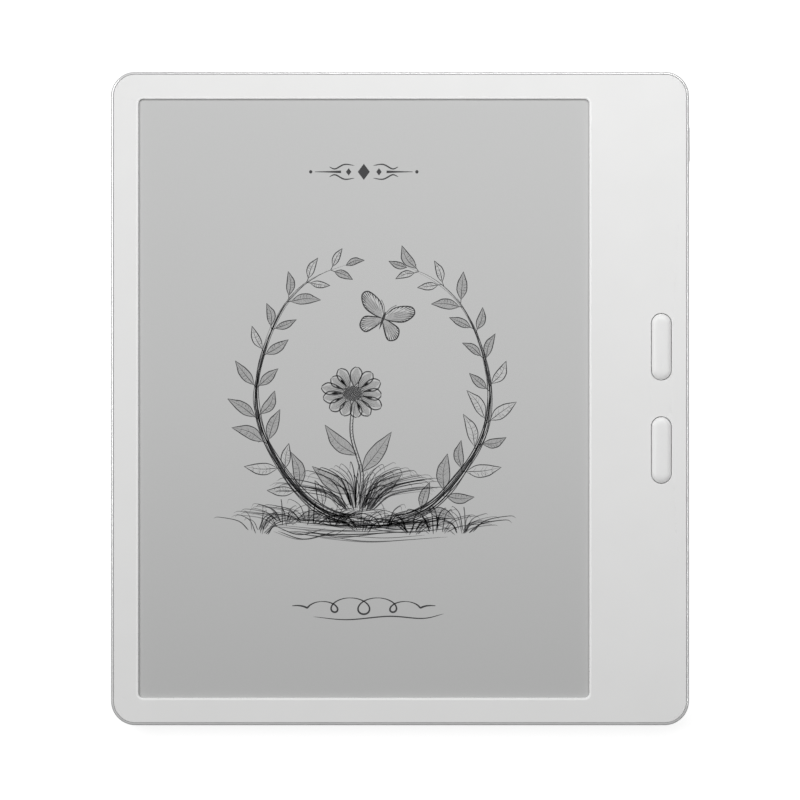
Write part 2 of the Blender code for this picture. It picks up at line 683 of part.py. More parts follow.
def make_front_bezel():
    """The front plate, dropped into the shell's rim, with the screen window and the two key slots."""
    bm = bmesh.new()
    radius = CORNER_RADIUS - RIM_WIDTH - FIT
    add_block(bm, (-BEZEL_X, -BEZEL_Y, BEZEL_UNDER), (BEZEL_X, BEZEL_Y, BODY_DEPTH), radius)
    round_rim(bm, 2, BODY_DEPTH, FIT / 2, 1)
    bezel = add_part("front_bezel", bm, "white_plastic")

    join(bezel, "snap_tabs", snap_tabs(TAB_BOTTOM, BEZEL_UNDER + FIT, FIT, FIT + TAB_THICKNESS))
    join(bezel, "snap_hooks", snap_tabs(HOOK_LOW, HOOK_HIGH, FIT * 2, FIT - HOOK_REACH))

    over = BODY_DEPTH + FIT
    under = BEZEL_UNDER - FIT
    bm = bmesh.new()
    relief_right = BOARD_LEFT + FIT
    low = (PANEL_LEFT - FIT, -PANEL_TOP - FIT, under)
    add_block(bm, low, (relief_right, PANEL_TOP + FIT, LIP_UNDER), WINDOW_RADIUS, SMALL_SEGMENTS)
    cut(bezel, "display_relief", bm)

    bm = bmesh.new()
    add_block(bm, (WINDOW_LEFT, -WINDOW_TOP, under), (WINDOW_RIGHT, WINDOW_TOP, over), WINDOW_RADIUS)
    cut(bezel, "window", bm)

    bm = bmesh.new()
    chamfer_low = BODY_DEPTH - WINDOW_CHAMFER_DEPTH
    chamfer_slope = WINDOW_CHAMFER_WIDTH / WINDOW_CHAMFER_DEPTH
    add_block(bm, (WINDOW_LEFT, -WINDOW_TOP, chamfer_low), (WINDOW_RIGHT, WINDOW_TOP, over), WINDOW_RADIUS)
    straight = (WINDOW_WIDTH / 2 - WINDOW_RADIUS, WINDOW_HEIGHT / 2 - WINDOW_RADIUS)
    centre = ((WINDOW_LEFT + WINDOW_RIGHT) / 2, 0.0)
    flare(bm, over, (over - chamfer_low) * chamfer_slope, (straight, centre))
    cut(bezel, "window_chamfer", bm)

    bm = bmesh.new()
    for y in (-PAGE_KEY_Y, PAGE_KEY_Y):
        add_stadium(bm, (PAGE_KEY_X, y), PAGE_SLOT_WIDTH, PAGE_SLOT_LENGTH, under, over)
    cut(bezel, "page_key_slots", bm)


# ---------------------------------------------------------------- keys


def make_page_button(name, y):
    """A domed key with a flange that holds it behind the bezel and a nub that meets its switch."""
    origin = (PAGE_KEY_X, y, BODY_DEPTH)
    flange_top = BEZEL_UNDER - FIT
    flange_bottom = flange_top - PAGE_FLANGE_THICKNESS
    crest = BODY_DEPTH + PAGE_KEY_RISE
    width = PAGE_SLOT_WIDTH - 2 * FIT
    length = PAGE_SLOT_LENGTH - 2 * FIT
    bm = bmesh.new()
    add_stadium(bm, (PAGE_KEY_X, y), width, length, flange_bottom + FIT, crest)
    round_rim(bm, 2, crest, PAGE_KEY_DOME, SMALL_SEGMENTS)
    key = add_part(name, bm, "key_plastic", origin)

    bm = bmesh.new()
    lip = 2 * PAGE_FLANGE_LIP
    add_stadium(bm, (PAGE_KEY_X, y), width + lip, length + lip, flange_bottom, flange_top)
    join(key, name + "_flange", bm)

    bm = bmesh.new()
    nub_low = flange_bottom - PAGE_NUB_LENGTH
    nub_high = flange_bottom + PAGE_FLANGE_THICKNESS / 2
    add_rod(bm, (PAGE_KEY_X, y, (nub_low + nub_high) / 2), PAGE_NUB_RADIUS, nub_high - nub_low)
    join(key, name + "_nub", bm)


def make_power_button():
    """A bar key in the grip's side wall, held from inside by its flange."""
    outer = HALF_WIDTH + POWER_KEY_PROUD
    flange_outer = WALL_X - FIT
    flange_inner = flange_outer - POWER_FLANGE_THICKNESS
    half_length = POWER_KEY_LENGTH / 2
    half_height = POWER_KEY_HEIGHT / 2
    bm = bmesh.new()
    low = (flange_inner + FIT, POWER_Y - half_length, PORT_Z - half_height)
    high = (outer, POWER_Y + half_length, PORT_Z + half_height)
    add_block(bm, low, high, half_height * POWER_KEY_ROUNDING, SMALL_SEGMENTS, axis=0)
    round_rim(bm, 0, outer, POWER_KEY_PROUD / 2, 1)
    key = add_part("power_button", bm, "key_plastic", (HALF_WIDTH, POWER_Y, PORT_Z))

    bm = bmesh.new()
    half_length += POWER_FLANGE_LIP
    half_height += POWER_FLANGE_STEP
    low = (flange_inner, POWER_Y - half_length, PORT_Z - half_height)
    add_block(bm, low, (flange_outer, POWER_Y + half_length, PORT_Z + half_height))
    join(key, "power_button_flange", bm)


# ---------------------------------------------------------------- ports


def make_card_tray():
    """The drawer for a memory card: a flush face and a shallow pocket behind it."""
    face_outer = HALF_WIDTH - TRAY_SETBACK
    face_inner = face_outer - TRAY_FACE_THICKNESS
    body_inner = face_inner - TRAY_LENGTH
    half_length = TRAY_FACE_LENGTH / 2
    half_height = TRAY_FACE_HEIGHT / 2
    bm = bmesh.new()
    low = (face_inner, TRAY_Y - half_length, PORT_Z - half_height)
    high = (face_outer, TRAY_Y + half_length, PORT_Z + half_height)
    add_block(bm, low, high, half_height * TRAY_FACE_ROUNDING, SMALL_SEGMENTS, axis=0)
    tray = add_part("card_tray", bm, "white_plastic", (face_outer, TRAY_Y, PORT_Z))

    bm = bmesh.new()
    half_width = TRAY_WIDTH / 2
    bottom = PORT_Z - TRAY_THICKNESS / 2
    top = PORT_Z + TRAY_THICKNESS / 2
    low = (body_inner, TRAY_Y - half_width, bottom)
    add_block(bm, low, (face_inner + FIT, TRAY_Y + half_width, top))
    join(tray, "card_tray_body", bm)

    bm = bmesh.new()
    pocket_inner = body_inner + (TRAY_LENGTH - CARD_LENGTH) / 2
    low = (pocket_inner, TRAY_Y - CARD_WIDTH / 2, top - CARD_POCKET_DEPTH)
    high = (pocket_inner + CARD_LENGTH, TRAY_Y + CARD_WIDTH / 2, top + FIT)
    add_block(bm, low, high)
    cut(tray, "card_pocket", bm)


def make_card_socket():
    """The stamped cover on the main board that guides the tray, open towards the side wall."""
    half_width = TRAY_WIDTH / 2 + CARD_SOCKET_MARGIN
    low = (BOARD_LEFT + FIT, TRAY_Y - half_width, PART_Z)
    high = (BOARD_RIGHT, TRAY_Y + half_width, PART_Z + CARD_SOCKET_HEIGHT)
    open_can("card_socket", low, high, CARD_SOCKET_WALL, "bright_steel", ((0, BOARD_RIGHT),))


def make_usb_port():
    """A USB-C receptacle: a drawn steel shell, and the insulator with its centre tongue."""
    half_width = USB_SHELL_WIDTH / 2
    half_height = USB_SHELL_HEIGHT / 2
    low = (USB_BACK, USB_Y - half_width, PORT_Z - half_height)
    high = (USB_FRONT, USB_Y + half_width, PORT_Z + half_height)
    ends = ((0, USB_BACK), (0, USB_FRONT))
    rounding = half_height * FULL_ROUND
    open_can("usb_shell", low, high, USB_SHELL_WALL, "bright_steel", ends, rounding, CORNER_SEGMENTS, axis=0)

    inset = USB_SHELL_WALL + USB_CLEARANCE
    half_width -= inset
    half_height -= inset
    base_back = USB_BACK + FIT
    base_front = base_back + USB_BASE_LENGTH
    bm = bmesh.new()
    low = (base_back, USB_Y - half_width, PORT_Z - half_height)
    high = (base_front, USB_Y + half_width, PORT_Z + half_height)
    add_block(bm, low, high, half_height * FULL_ROUND, SMALL_SEGMENTS, axis=0)
    tongue = add_part("usb_tongue", bm, "chip_black")

    bm = bmesh.new()
    low = (base_front - FIT, USB_Y - TONGUE_WIDTH / 2, PORT_Z - TONGUE_THICKNESS / 2)
    high = (USB_FRONT - TONGUE_SETBACK, USB_Y + TONGUE_WIDTH / 2, PORT_Z + TONGUE_THICKNESS / 2)
    add_block(bm, low, high)
    join(tongue, "usb_tongue_blade", bm)


def make_sound_parts():
    """The speaker box behind its holes, the mesh between them, and the microphone."""
    mesh_outer = WALL_X - FIT
    mesh_inner = mesh_outer - FIT
    speaker_outer = mesh_inner - 2 * SOLDER_GAP
    low = (speaker_outer - SPEAKER_WIDTH, SPEAKER_Y - SPEAKER_LENGTH / 2, FLOOR + 2 * FIT)
    high = (speaker_outer, SPEAKER_Y + SPEAKER_LENGTH / 2, CARRIER_TOP)
    block_part("speaker", low, high, "chip_black", SPEAKER_CORNER)
    low = (mesh_inner, SPEAKER_Y - MESH_LENGTH / 2, PORT_Z - MESH_HEIGHT / 2)
    high = (mesh_outer, SPEAKER_Y + MESH_LENGTH / 2, PORT_Z + MESH_HEIGHT / 2)
    block_part("speaker_mesh", low, high, "dark_mesh")
    low = (MICROPHONE_LEFT, MICROPHONE_Y - MICROPHONE_LENGTH / 2, PART_Z)
    high = (BOARD_RIGHT - FIT, MICROPHONE_Y + MICROPHONE_LENGTH / 2, PART_Z + MICROPHONE_HEIGHT)
    block_part("microphone", low, high, "foil")


# ---------------------------------------------------------------- display


def make_display_carrier():
    """The magnesium frame under the display, with six screw ears."""
    left = -WALL_X + CARRIER_SIDE_GAP
    top = WALL_Y - CARRIER_END_GAP
    bm = bmesh.new()
    low = (left, -top, CARRIER_Z)
    add_block(bm, low, (CARRIER_RIGHT, top, CARRIER_TOP), CARRIER_CORNER, SMALL_SEGMENTS)
    carrier = add_part("display_carrier", bm, "magnesium")

    bm = bmesh.new()
    half = BOSS_RADIUS
    for x, y in carrier_screw_places():
        if x < 0:
            low_x, high_x = -WALL_X + FIT, left + half
        else:
            low_x, high_x = CARRIER_RIGHT - half, x + half
        add_block(bm, (low_x, y - half, CARRIER_Z), (high_x, y + half, CARRIER_TOP))
    join(carrier, "carrier_ears", bm)

    bm = bmesh.new()
    for x, y in carrier_screw_places():
        middle = (CARRIER_Z + CARRIER_TOP) / 2
        add_rod(bm, (x, y, middle), BORE_RADIUS, CARRIER_THICKNESS * 2, segments=BORE_SEGMENTS)
    cut(carrier, "carrier_holes", bm)

    for index, (x, y) in enumerate(carrier_screw_places(), start=1):
        screw(f"carrier_screw_{index}", x, y, CARRIER_TOP + SOLDER_GAP / 2, FLOOR)


def make_display_stack():
    """The e-paper panel, front light guide, touch film and the foam gasket below the bezel's lip."""
    low = (PANEL_LEFT, -PANEL_TOP, PANEL_Z)
    high = (PANEL_RIGHT, PANEL_TOP, PANEL_Z + PANEL_THICKNESS)
    block_part("epaper_panel", low, high, "display_glass", STACK_CORNER)
    low = (PANEL_LEFT, -PANEL_TOP, GUIDE_Z)
    high = (GUIDE_RIGHT, PANEL_TOP, GUIDE_Z + GUIDE_THICKNESS)
    block_part("light_guide", low, high, "clear_acrylic", STACK_CORNER)
    low = (PANEL_LEFT, -PANEL_TOP, FILM_Z)
    block_part("cover_film", low, (GUIDE_RIGHT + FIT, PANEL_TOP, FILM_TOP), "paper", STACK_CORNER)

    gasket_z = FILM_TOP + SOLDER_GAP / 2
    gasket_high = gasket_z + GASKET_THICKNESS
    inset = PANEL_BORDER - FIT
    bm = bmesh.new()
    low = (WINDOW_LEFT - inset, -WINDOW_TOP - inset, gasket_z)
    high = (WINDOW_RIGHT + inset, WINDOW_TOP + inset, gasket_high)
    add_block(bm, low, high, STACK_CORNER, SMALL_SEGMENTS)
    gasket = add_part("display_gasket", bm, "black_foam")
    bm = bmesh.new()
    low = (WINDOW_LEFT - FIT, -WINDOW_TOP - FIT, gasket_z - FIT)
    high = (WINDOW_RIGHT + FIT, WINDOW_TOP + FIT, gasket_high + FIT)
    add_block(bm, low, high, WINDOW_RADIUS, SMALL_SEGMENTS)
    cut(gasket, "gasket_window", bm)

    led_left = GUIDE_RIGHT + FIT
    led_top = WINDOW_TOP - LED_STRIP_END_GAP
    high = (led_left + LED_STRIP_WIDTH, led_top, GUIDE_Z + GUIDE_THICKNESS)
    block_part("frontlight_strip", (led_left, -led_top, GUIDE_Z), high, "flex_amber")


def make_flat_cable(name, start_x, start_z, place):
    """A cable from a display layer, round the carrier's edge, to its connector on the board."""
    y, width = place
    end_z = PART_Z + CABLE_CONTACT_HEIGHT
    corners = ((start_x, start_z), (CABLE_DROP_X, start_z), (CABLE_DROP_X, end_z), (CABLE_END_X, end_z))
    ribbon(f"{name}_flex", corners, y, width, CABLE_THICKNESS, "flex_amber")
    half_width = width / 2 + CONNECTOR_MARGIN
    left = CABLE_END_X + SOLDER_GAP
    low = (left, y - half_width, PART_Z)
    high = (left + CONNECTOR_LENGTH, y + half_width, PART_Z + CONNECTOR_HEIGHT)
    block_part(f"{name}_connector", low, high, "connector_tan")


def make_flat_cables():
    """The three cables of the display, and the one from the page key board down to the main board."""
    make_flat_cable("display", PANEL_RIGHT + FIT, PANEL_Z + PANEL_THICKNESS / 2, DISPLAY_CABLE)
    edge = PANEL_RIGHT + CABLE_START_GAP
    make_flat_cable("touch", edge, FILM_Z + FILM_THICKNESS / 2, TOUCH_CABLE)
    make_flat_cable("frontlight", edge, GUIDE_Z - 2 * SOLDER_GAP, FRONTLIGHT_CABLE)

    level = KEY_BOARD_Z + KEY_BOARD_THICKNESS / 2
    start = -KEY_BOARD_HALF_LENGTH - FIT
    turn = start - KEY_CABLE_REACH
    corners = ((start, level), (turn, level), (turn, PART_Z))
    ribbon("page_key_flex", corners, KEY_CABLE_X, KEY_CABLE_WIDTH, CABLE_THICKNESS, "flex_amber", axis=0)


# ---------------------------------------------------------------- electronics


def make_main_board():
    """The long board in the grip, notched for the speaker and the USB port."""
    low = (BOARD_LEFT, BOARD_BOTTOM, BOARD_Z)
    bm = bmesh.new()
    add_block(bm, low, (BOARD_RIGHT, BOARD_TOP_END, BOARD_TOP), BOARD_CORNER, SMALL_SEGMENTS)
    board = add_part("main_board", bm, "board_green")

    under = BOARD_Z - FIT
    over = BOARD_TOP + FIT
    past = BOARD_RIGHT + FIT
    bm = bmesh.new()
    half_length = SPEAKER_NOTCH_LENGTH / 2
    low = (SPEAKER_NOTCH_LEFT, SPEAKER_Y - half_length, under)
    add_block(bm, low, (past, SPEAKER_Y + half_length, over))
    half_width = USB_SHELL_WIDTH / 2 + FIT
    add_block(bm, (USB_BACK - FIT, USB_Y - half_width, under), (past, USB_Y + half_width, over))
    cut(board, "board_notches", bm)

    bm = bmesh.new()
    middle = (under + over) / 2
    for y in CARRIER_SCREW_RIGHT_Y[:2]:
        add_rod(bm, (CARRIER_SCREW_RIGHT_X, y, middle), BOSS_RADIUS + FIT, over - under)
    for x, y in BOARD_SCREWS:
        add_rod(bm, (x, y, middle), BORE_RADIUS, over - under, segments=BORE_SEGMENTS)
    cut(board, "board_holes", bm)

    seat = BOARD_TOP + SOLDER_GAP / 2
    tip = BORE_FLOOR + SOLDER_GAP
    for index, (x, y) in enumerate(BOARD_SCREWS, start=1):
        screw(f"board_screw_{index}", x, y, seat, tip, BOARD_SCREW_HEAD_RADIUS)


def make_board_parts():
    """The larger parts on the board, and the shield can over the processor with its thermal pad."""
    for name, (corner, size, height, finish) in BOARD_PARTS.items():
        x, y = (value * MM for value in corner)
        width, length = (value * MM for value in size)
        high = (x + width, y + length, PART_Z + height * MM)
        block_part(name, (x, y, PART_Z), high, finish)

    x, y = SHIELD_LOW
    high = (x + SHIELD_SIZE, y + SHIELD_SIZE, PART_Z + SHIELD_HEIGHT)
    openings = ((2, PART_Z),)
    open_can("processor_shield", (x, y, PART_Z), high, SHIELD_WALL, "foil", openings, SHIELD_CORNER)

    (x, y), (width, length), height, _ = BOARD_PARTS["processor_chip"]
    low = Vector((x * MM + PAD_INSET, y * MM + PAD_INSET, PART_Z + height * MM + PAD_LIFT))
    size = Vector((width * MM - 2 * PAD_INSET, length * MM - 2 * PAD_INSET, PAD_THICKNESS))
    block_part("thermal_pad", low, low + size, "grey_pad")


def make_page_switches():
    """The small board below the page keys and the two dome switches on it."""
    board_top = KEY_BOARD_Z + KEY_BOARD_THICKNESS
    low = (KEY_BOARD_LEFT, -KEY_BOARD_HALF_LENGTH, KEY_BOARD_Z)
    high = (KEY_BOARD_RIGHT, KEY_BOARD_HALF_LENGTH, board_top)
    block_part("page_key_board", low, high, "board_green")
    half = KEY_SWITCH_SIZE / 2
    low_z = board_top + SOLDER_GAP / 2
    high_z = low_z + KEY_SWITCH_HEIGHT
    for name, y in (("page_switch_upper", PAGE_KEY_Y), ("page_switch_lower", -PAGE_KEY_Y)):
        bm = bmesh.new()
        add_block(bm, (PAGE_KEY_X - half, y - half, low_z), (PAGE_KEY_X + half, y + half, high_z))
        round_rim(bm, 2, high_z, KEY_SWITCH_ROUND, 1)
        add_part(name, bm, "bright_steel")


def make_antenna():
    low_z = FLOOR + SOLDER_GAP
    high = (*ANTENNA_HIGH, low_z + ANTENNA_THICKNESS)
    block_part("wifi_antenna", (*ANTENNA_LOW, low_z), high, "flex_amber", FIT)
    tube("antenna_lead", LEAD_ROUTE, LEAD_RADIUS, "chip_black")


def make_battery():
    """The lithium pouch, its tape, its protection board and its flat lead."""
    (left, bottom), (right, top) = BATTERY_LOW, BATTERY_HIGH
    battery_top = BATTERY_Z + BATTERY_THICKNESS
    bm = bmesh.new()
    add_block(bm, (left, bottom, BATTERY_Z), (right, top, battery_top), BATTERY_CORNER, SMALL_SEGMENTS)
    round_rim(bm, 2, battery_top, BATTERY_ROUND, 2)
    add_part("battery_pack", bm, "foil")

    low = (left + ADHESIVE_INSET, bottom + ADHESIVE_INSET, FLOOR + SOLDER_GAP)
    high = (right - ADHESIVE_INSET, top - ADHESIVE_INSET, BATTERY_Z - SOLDER_GAP)
    block_part("battery_adhesive", low, high, "black_foam")

    board_low = top + FIT
    board_high = board_low + GUARD_BOARD_WIDTH
    guard_z = BATTERY_Z + GUARD_BOARD_LIFT
    low = (GUARD_BOARD_LEFT, board_low, guard_z)
    high = (right, board_high, guard_z + GUARD_BOARD_THICKNESS)
    block_part("battery_guard_board", low, high, "board_green")

    start_z = guard_z + GUARD_BOARD_THICKNESS / 2
    end_z = PART_Z + CABLE_CONTACT_HEIGHT
    ramp_start = right + BATTERY_LEAD_LEVEL
    ramp_end = ramp_start + BATTERY_LEAD_RAMP
    corners = ((right + FIT, start_z), (ramp_start, start_z), (ramp_end, end_z), (CABLE_END_X, end_z))
    middle = (board_low + board_high) / 2
    ribbon("battery_lead", corners, middle, BATTERY_LEAD_WIDTH, BATTERY_LEAD_THICKNESS, "flex_amber")


def make_cover_magnets():
    """Bar magnets near the left edge that hold and wake a folding cover."""
    low_z = FLOOR + SOLDER_GAP
    for name, y in (("cover_magnet_upper", MAGNET_Y), ("cover_magnet_lower", -MAGNET_Y)):
        low = (MAGNET_LEFT, y - MAGNET_LENGTH / 2, low_z)
        high = (MAGNET_LEFT + MAGNET_WIDTH, y + MAGNET_LENGTH / 2, low_z + MAGNET_HEIGHT)
        block_part(name, low, high, "foil", MAGNET_CORNER)


def even_normals():
    """Weights each part's normals by face area, so that flat faces shade flat beside small roundings."""
    for part in PARTS.objects:
        if part.type == "MESH":
            normals = part.modifiers.new("normals", "WEIGHTED_NORMAL")
            normals.keep_sharp = True


make_rear_shell()
make_front_bezel()
make_page_button("page_button_upper", PAGE_KEY_Y)
make_page_button("page_button_lower", -PAGE_KEY_Y)
make_power_button()
make_card_tray()
make_card_socket()
make_usb_port()
make_sound_parts()
make_display_carrier()
make_display_stack()
make_flat_cables()
make_main_board()
make_board_parts()
make_page_switches()
make_antenna()
make_battery()
make_cover_magnets()
even_normals()
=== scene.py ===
"""The looks of a slim e-reader with page keys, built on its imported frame. Lengths are in metres.

X runs across the face towards the grip, Y up the face and Z out of it. The frame gives the places, and
the sizes named below are the fine ones that it doesn't hold.
"""

import json
import math
import random

import bmesh
import bpy
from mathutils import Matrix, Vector


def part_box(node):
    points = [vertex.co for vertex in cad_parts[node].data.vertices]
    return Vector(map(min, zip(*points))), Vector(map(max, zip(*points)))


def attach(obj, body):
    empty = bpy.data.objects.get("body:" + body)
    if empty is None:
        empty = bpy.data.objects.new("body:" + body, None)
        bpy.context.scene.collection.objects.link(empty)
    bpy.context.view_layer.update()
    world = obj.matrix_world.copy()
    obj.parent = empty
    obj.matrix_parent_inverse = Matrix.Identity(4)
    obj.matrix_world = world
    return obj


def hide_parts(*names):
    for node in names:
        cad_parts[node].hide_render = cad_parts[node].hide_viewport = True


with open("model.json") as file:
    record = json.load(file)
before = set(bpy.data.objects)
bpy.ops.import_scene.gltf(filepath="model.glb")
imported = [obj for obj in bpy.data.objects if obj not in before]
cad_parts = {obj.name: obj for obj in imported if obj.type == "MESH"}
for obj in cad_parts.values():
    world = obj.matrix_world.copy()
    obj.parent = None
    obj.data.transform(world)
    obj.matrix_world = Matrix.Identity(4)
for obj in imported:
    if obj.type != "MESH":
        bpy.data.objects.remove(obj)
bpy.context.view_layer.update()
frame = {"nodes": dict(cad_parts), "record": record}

MM = 0.001

# ---- sizes

# Housing: the CAD solid's roundings and walls, and the fine shape of its rim
CORNER_RADIUS = 5.8 * MM
BACK_ROUND = 2.8 * MM
WALL = 1.8 * MM
FLOOR = 1.0 * MM
LEDGE_DEPTH = 1.2 * MM
RIM_OUTER_WIDTH = 0.29 * MM
RIM_OUTER_HEIGHT = 0.7 * MM
RIM_SLOPE_WIDTH = 0.2 * MM
RIM_INNER_WIDTH = 0.04 * MM
RIM_STEEP = math.radians(21)
RIM_SHALLOW = math.radians(9)
FIT = 0.3 * MM
PARTING_GAP = 0.045 * MM
PARTING_ROUND = 0.07 * MM

# Window: its edge lies a fixed way inside the gasket's
GASKET_MARGIN = 1.7 * MM
WINDOW_RADIUS = 1.1 * MM
WINDOW_BEVEL_WIDTH = 0.5 * MM
WINDOW_BEVEL_DEPTH = 0.07 * MM
WINDOW_SET_BACK = 0.12 * MM
WINDOW_EASE = 0.06 * MM
WINDOW_BEAD_WIDTH = 0.6 * MM
WINDOW_BEAD_GAP = 0.02 * MM
LIP_THICKNESS = 0.55 * MM
PLATE_THICKNESS = 1.0 * MM

# Page keys: the flange's lip, the slot they stand in and the dome
KEY_FLANGE_LIP = 0.8 * MM
KEY_GAP = 0.15 * MM
KEY_SLOT_ROUND = 0.1 * MM
KEY_DOME_BASE = 0.12 * MM
KEY_DOME_STEPS = 20
KEY_DOME_POWER = 3
KEY_FLANGE_THICKNESS = 0.5 * MM
KEY_NUB_LENGTH = 0.2 * MM
KEY_NUB_RADIUS = 0.8 * MM

# Openings in the grip's edge, and the parts that stand in them
MOUTH_EASE = 0.1 * MM
EDGE_GAP = 0.15 * MM
POWER_FLANGE_LIP = 0.9 * MM
POWER_FLANGE_STEP = 0.1 * MM
POWER_FLANGE_THICKNESS = 0.9 * MM
POWER_DOME = 0.28 * MM
SPEAKER_HOLES = 7
SPEAKER_HOLE_PITCH = 2.3 * MM
SPEAKER_HOLE_RADIUS = 0.55 * MM
SMALL_HOLE_RADIUS = 0.45 * MM
PIN_HOLE_OFFSET = 8.2 * MM
USB_CLEARANCE = 0.15 * MM
USB_WALL = 0.3 * MM
USB_EASE = 0.09 * MM
USB_BASE_DEPTH = 1.5 * MM
USB_BLADE_HALF = (3.35 * MM, 0.35 * MM)
USB_BLADE_ROUND = 0.12 * MM
CONTACTS = 12
CONTACT_PITCH = 0.5 * MM
CONTACT_WIDTH = 0.26 * MM
CONTACT_LENGTH = 2.9 * MM
LONG_CONTACT_LENGTH = 3.4 * MM
LONG_CONTACTS = (0, 3, 8, 11)
CONTACT_START = 0.4 * MM
CONTACT_PROUD = 0.02 * MM
CONTACT_ROUND = 0.08 * MM
TRAY_FACE_THICKNESS = 1.05 * MM
TRAY_WIDTH = 12.2 * MM
CARD_LENGTH = 15.2 * MM
CARD_WIDTH = 11.2 * MM
CARD_POCKET_DEPTH = 0.8 * MM
CARD_POCKET_ROUND = 0.6 * MM
CARD_POCKET_MARGIN = 0.5 * MM
TRAY_BODY_HALF = 0.55 * MM
TRAY_BODY_ROUND = 0.8 * MM
BOSS_RADIUS = 1.6 * MM
BORE_RADIUS = 0.9 * MM
BORE_FLOOR = 0.4 * MM

# Speaker mesh: the wires' spacing, half their thickness and how far they sway
MESH_PITCH = 0.22 * MM
WIRE_HALF = 0.045 * MM
WIRE_SWAY = 0.055 * MM

# Page: three thin layers of ink, and the drawing's finest line in millimetres
INK_LAYER = 0.004 * MM
FINEST_LINE = 0.03
WASH, SOFT, DARK = 0, 1, 2

# Facets
CORNER_STEPS = 16
HOLE_STEPS = 7
ROUND_STEPS = 8
SMOOTH_ANGLE = math.radians(35)
TINY = 0.0000002
ALMOST_ROUND = 0.999
KEY_TOP_SHARE = 0.985

# Looks: linear colours, and the painted shade that darkens the page towards its foot
WHITE = (0.715, 0.715, 0.712)
PAPER = (0.468, 0.47, 0.468)
PAINTED_FOOT_SHADE = 0.93
NICKEL = (0.62, 0.62, 0.63)
RESIST_GREEN = (0.02, 0.13, 0.06)
TRACK_GREEN = (0.06, 0.24, 0.1)
AMBER = (0.42, 0.19, 0.035)
TRACK_COPPER = (0.62, 0.3, 0.09)
ACRYLIC = (0.85, 0.87, 0.88)
MESH_BLACK = (0.035, 0.035, 0.038)
EVEN_GRAIN = (1.0, 1.0, 1.0)

# Studio: the camera, each light's place, size and power in watts, the world and the floor
VIEW_WIDTH = 189.75 * MM
VIEW_LIFT = 0.36 * MM
LENS = 200.0
SENSOR = 36.0
KEY_SOFTBOX = ((-0.48, 0.18, 0.6), (0.5, 0.16), 3.5)
TOP_SOFTBOX = ((0.08, 0.25, 0.3), (0.3, 0.1), 0.72)
RIGHT_STRIP = ((0.27, 0.04, 0.35), (0.36, 0.035), 0.43)
WORLD_STRENGTH = 0.15
FLOOR_HALF = 3.0
FLOOR_DROP = 0.1 * MM
FLOOR_COLOUR = (0.35, 0.35, 0.35)
FLOOR_GLOW = 0.8

# ---- places read from the frame

SHELL_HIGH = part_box("rear_shell")[1]
BEZEL_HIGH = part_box("front_bezel")[1]
FILM_LOW, FILM_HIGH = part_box("cover_film")
GASKET_LOW, GASKET_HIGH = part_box("display_gasket")
HALF_X = SHELL_HIGH.x
HALF_Y = SHELL_HIGH.y
FACE_Z = SHELL_HIGH.z
RIM_WIDTH = HALF_X - BEZEL_HIGH.x - FIT
WINDOW_LOW = Vector((GASKET_LOW.x + GASKET_MARGIN, GASKET_LOW.y + GASKET_MARGIN))
WINDOW_HIGH = Vector((GASKET_HIGH.x - GASKET_MARGIN, GASKET_HIGH.y - GASKET_MARGIN))
WINDOW_CENTRE = (WINDOW_LOW + WINDOW_HIGH) / 2
WINDOW_HALF = (WINDOW_HIGH - WINDOW_LOW) / 2
PAPER_Z = FILM_HIGH.z


def middle(node):
    low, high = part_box(node)
    return (low + high) / 2


def half_size(node):
    low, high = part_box(node)
    return (high - low) / 2


PORT_Z = middle("power_button").z


def show(item):
    bpy.context.scene.collection.objects.link(item)
    return item


# ---- materials


def set_inputs(node, **inputs):
    """Sets a node's inputs: another node's output is linked, and any other value is put in."""
    for name, value in inputs.items():
        socket = node.inputs[name.replace("_", " ")]
        if isinstance(value, bpy.types.NodeSocket):
            node.id_data.links.new(value, socket)
        else:
            socket.default_value = value


def new_material(name, colour, roughness, metallic=0.0):
    """Returns a material and its shader, with its plain values set on the shader itself."""
    material = bpy.data.materials.new(name)
    material.use_nodes = True
    shader = material.node_tree.nodes["Principled BSDF"]
    set_inputs(shader, Base_Color=(*colour, 1.0), Roughness=roughness, Metallic=metallic)
    return material, shader


def add_node(shader, kind, **inputs):
    """Adds a node of a kind to the shader's tree."""
    node = shader.id_data.nodes.new("ShaderNode" + kind)
    set_inputs(node, **inputs)
    return node


def place_in_object(shader, stretch=EVEN_GRAIN):
    """Returns the object's own coordinates, stretched along each axis."""
    coords = add_node(shader, "TexCoord")
    return add_node(shader, "Mapping", Scale=stretch, Vector=coords.outputs["Object"]).outputs["Vector"]


def noise(shader, size, detail=2.0, stretch=EVEN_GRAIN):
    """Returns noise whose features have about the given size."""
    place = place_in_object(shader, stretch)
    return add_node(shader, "TexNoise", Scale=1 / size, Detail=detail, Vector=place).outputs["Fac"]


def spread_of(shader, value, low=0.0, high=1.0):
    """Maps the middle of a noise's range to run from low to high."""
    node = add_node(shader, "MapRange", From_Min=0.3, From_Max=0.7, To_Min=low, To_Max=high, Value=value)
    return node.outputs["Result"]


def blend_colours(shader, factor, first, second):
    """Returns a colour between two, each a colour or another node's output."""
    node = add_node(shader, "Mix", Factor=factor)
    node.data_type = "RGBA"
    for socket, colour in ((node.inputs[6], first), (node.inputs[7], second)):
        if isinstance(colour, tuple):
            socket.default_value = (*colour, 1.0)
        else:
            node.id_data.links.new(colour, socket)
    return node.outputs[2]


def shades(colour, amount):
    darker = tuple(value * (1 - amount) for value in colour)
    lighter = tuple(value * (1 + amount) for value in colour)
    return darker, lighter


def paint(shader, factor, first, second):
    set_inputs(shader, Base_Color=blend_colours(shader, factor, first, second))


def mottle(shader, colour, amount, size, detail=3.0):
    """Varies the colour a little from place to place."""
    paint(shader, spread_of(shader, noise(shader, size, detail)), *shades(colour, amount))


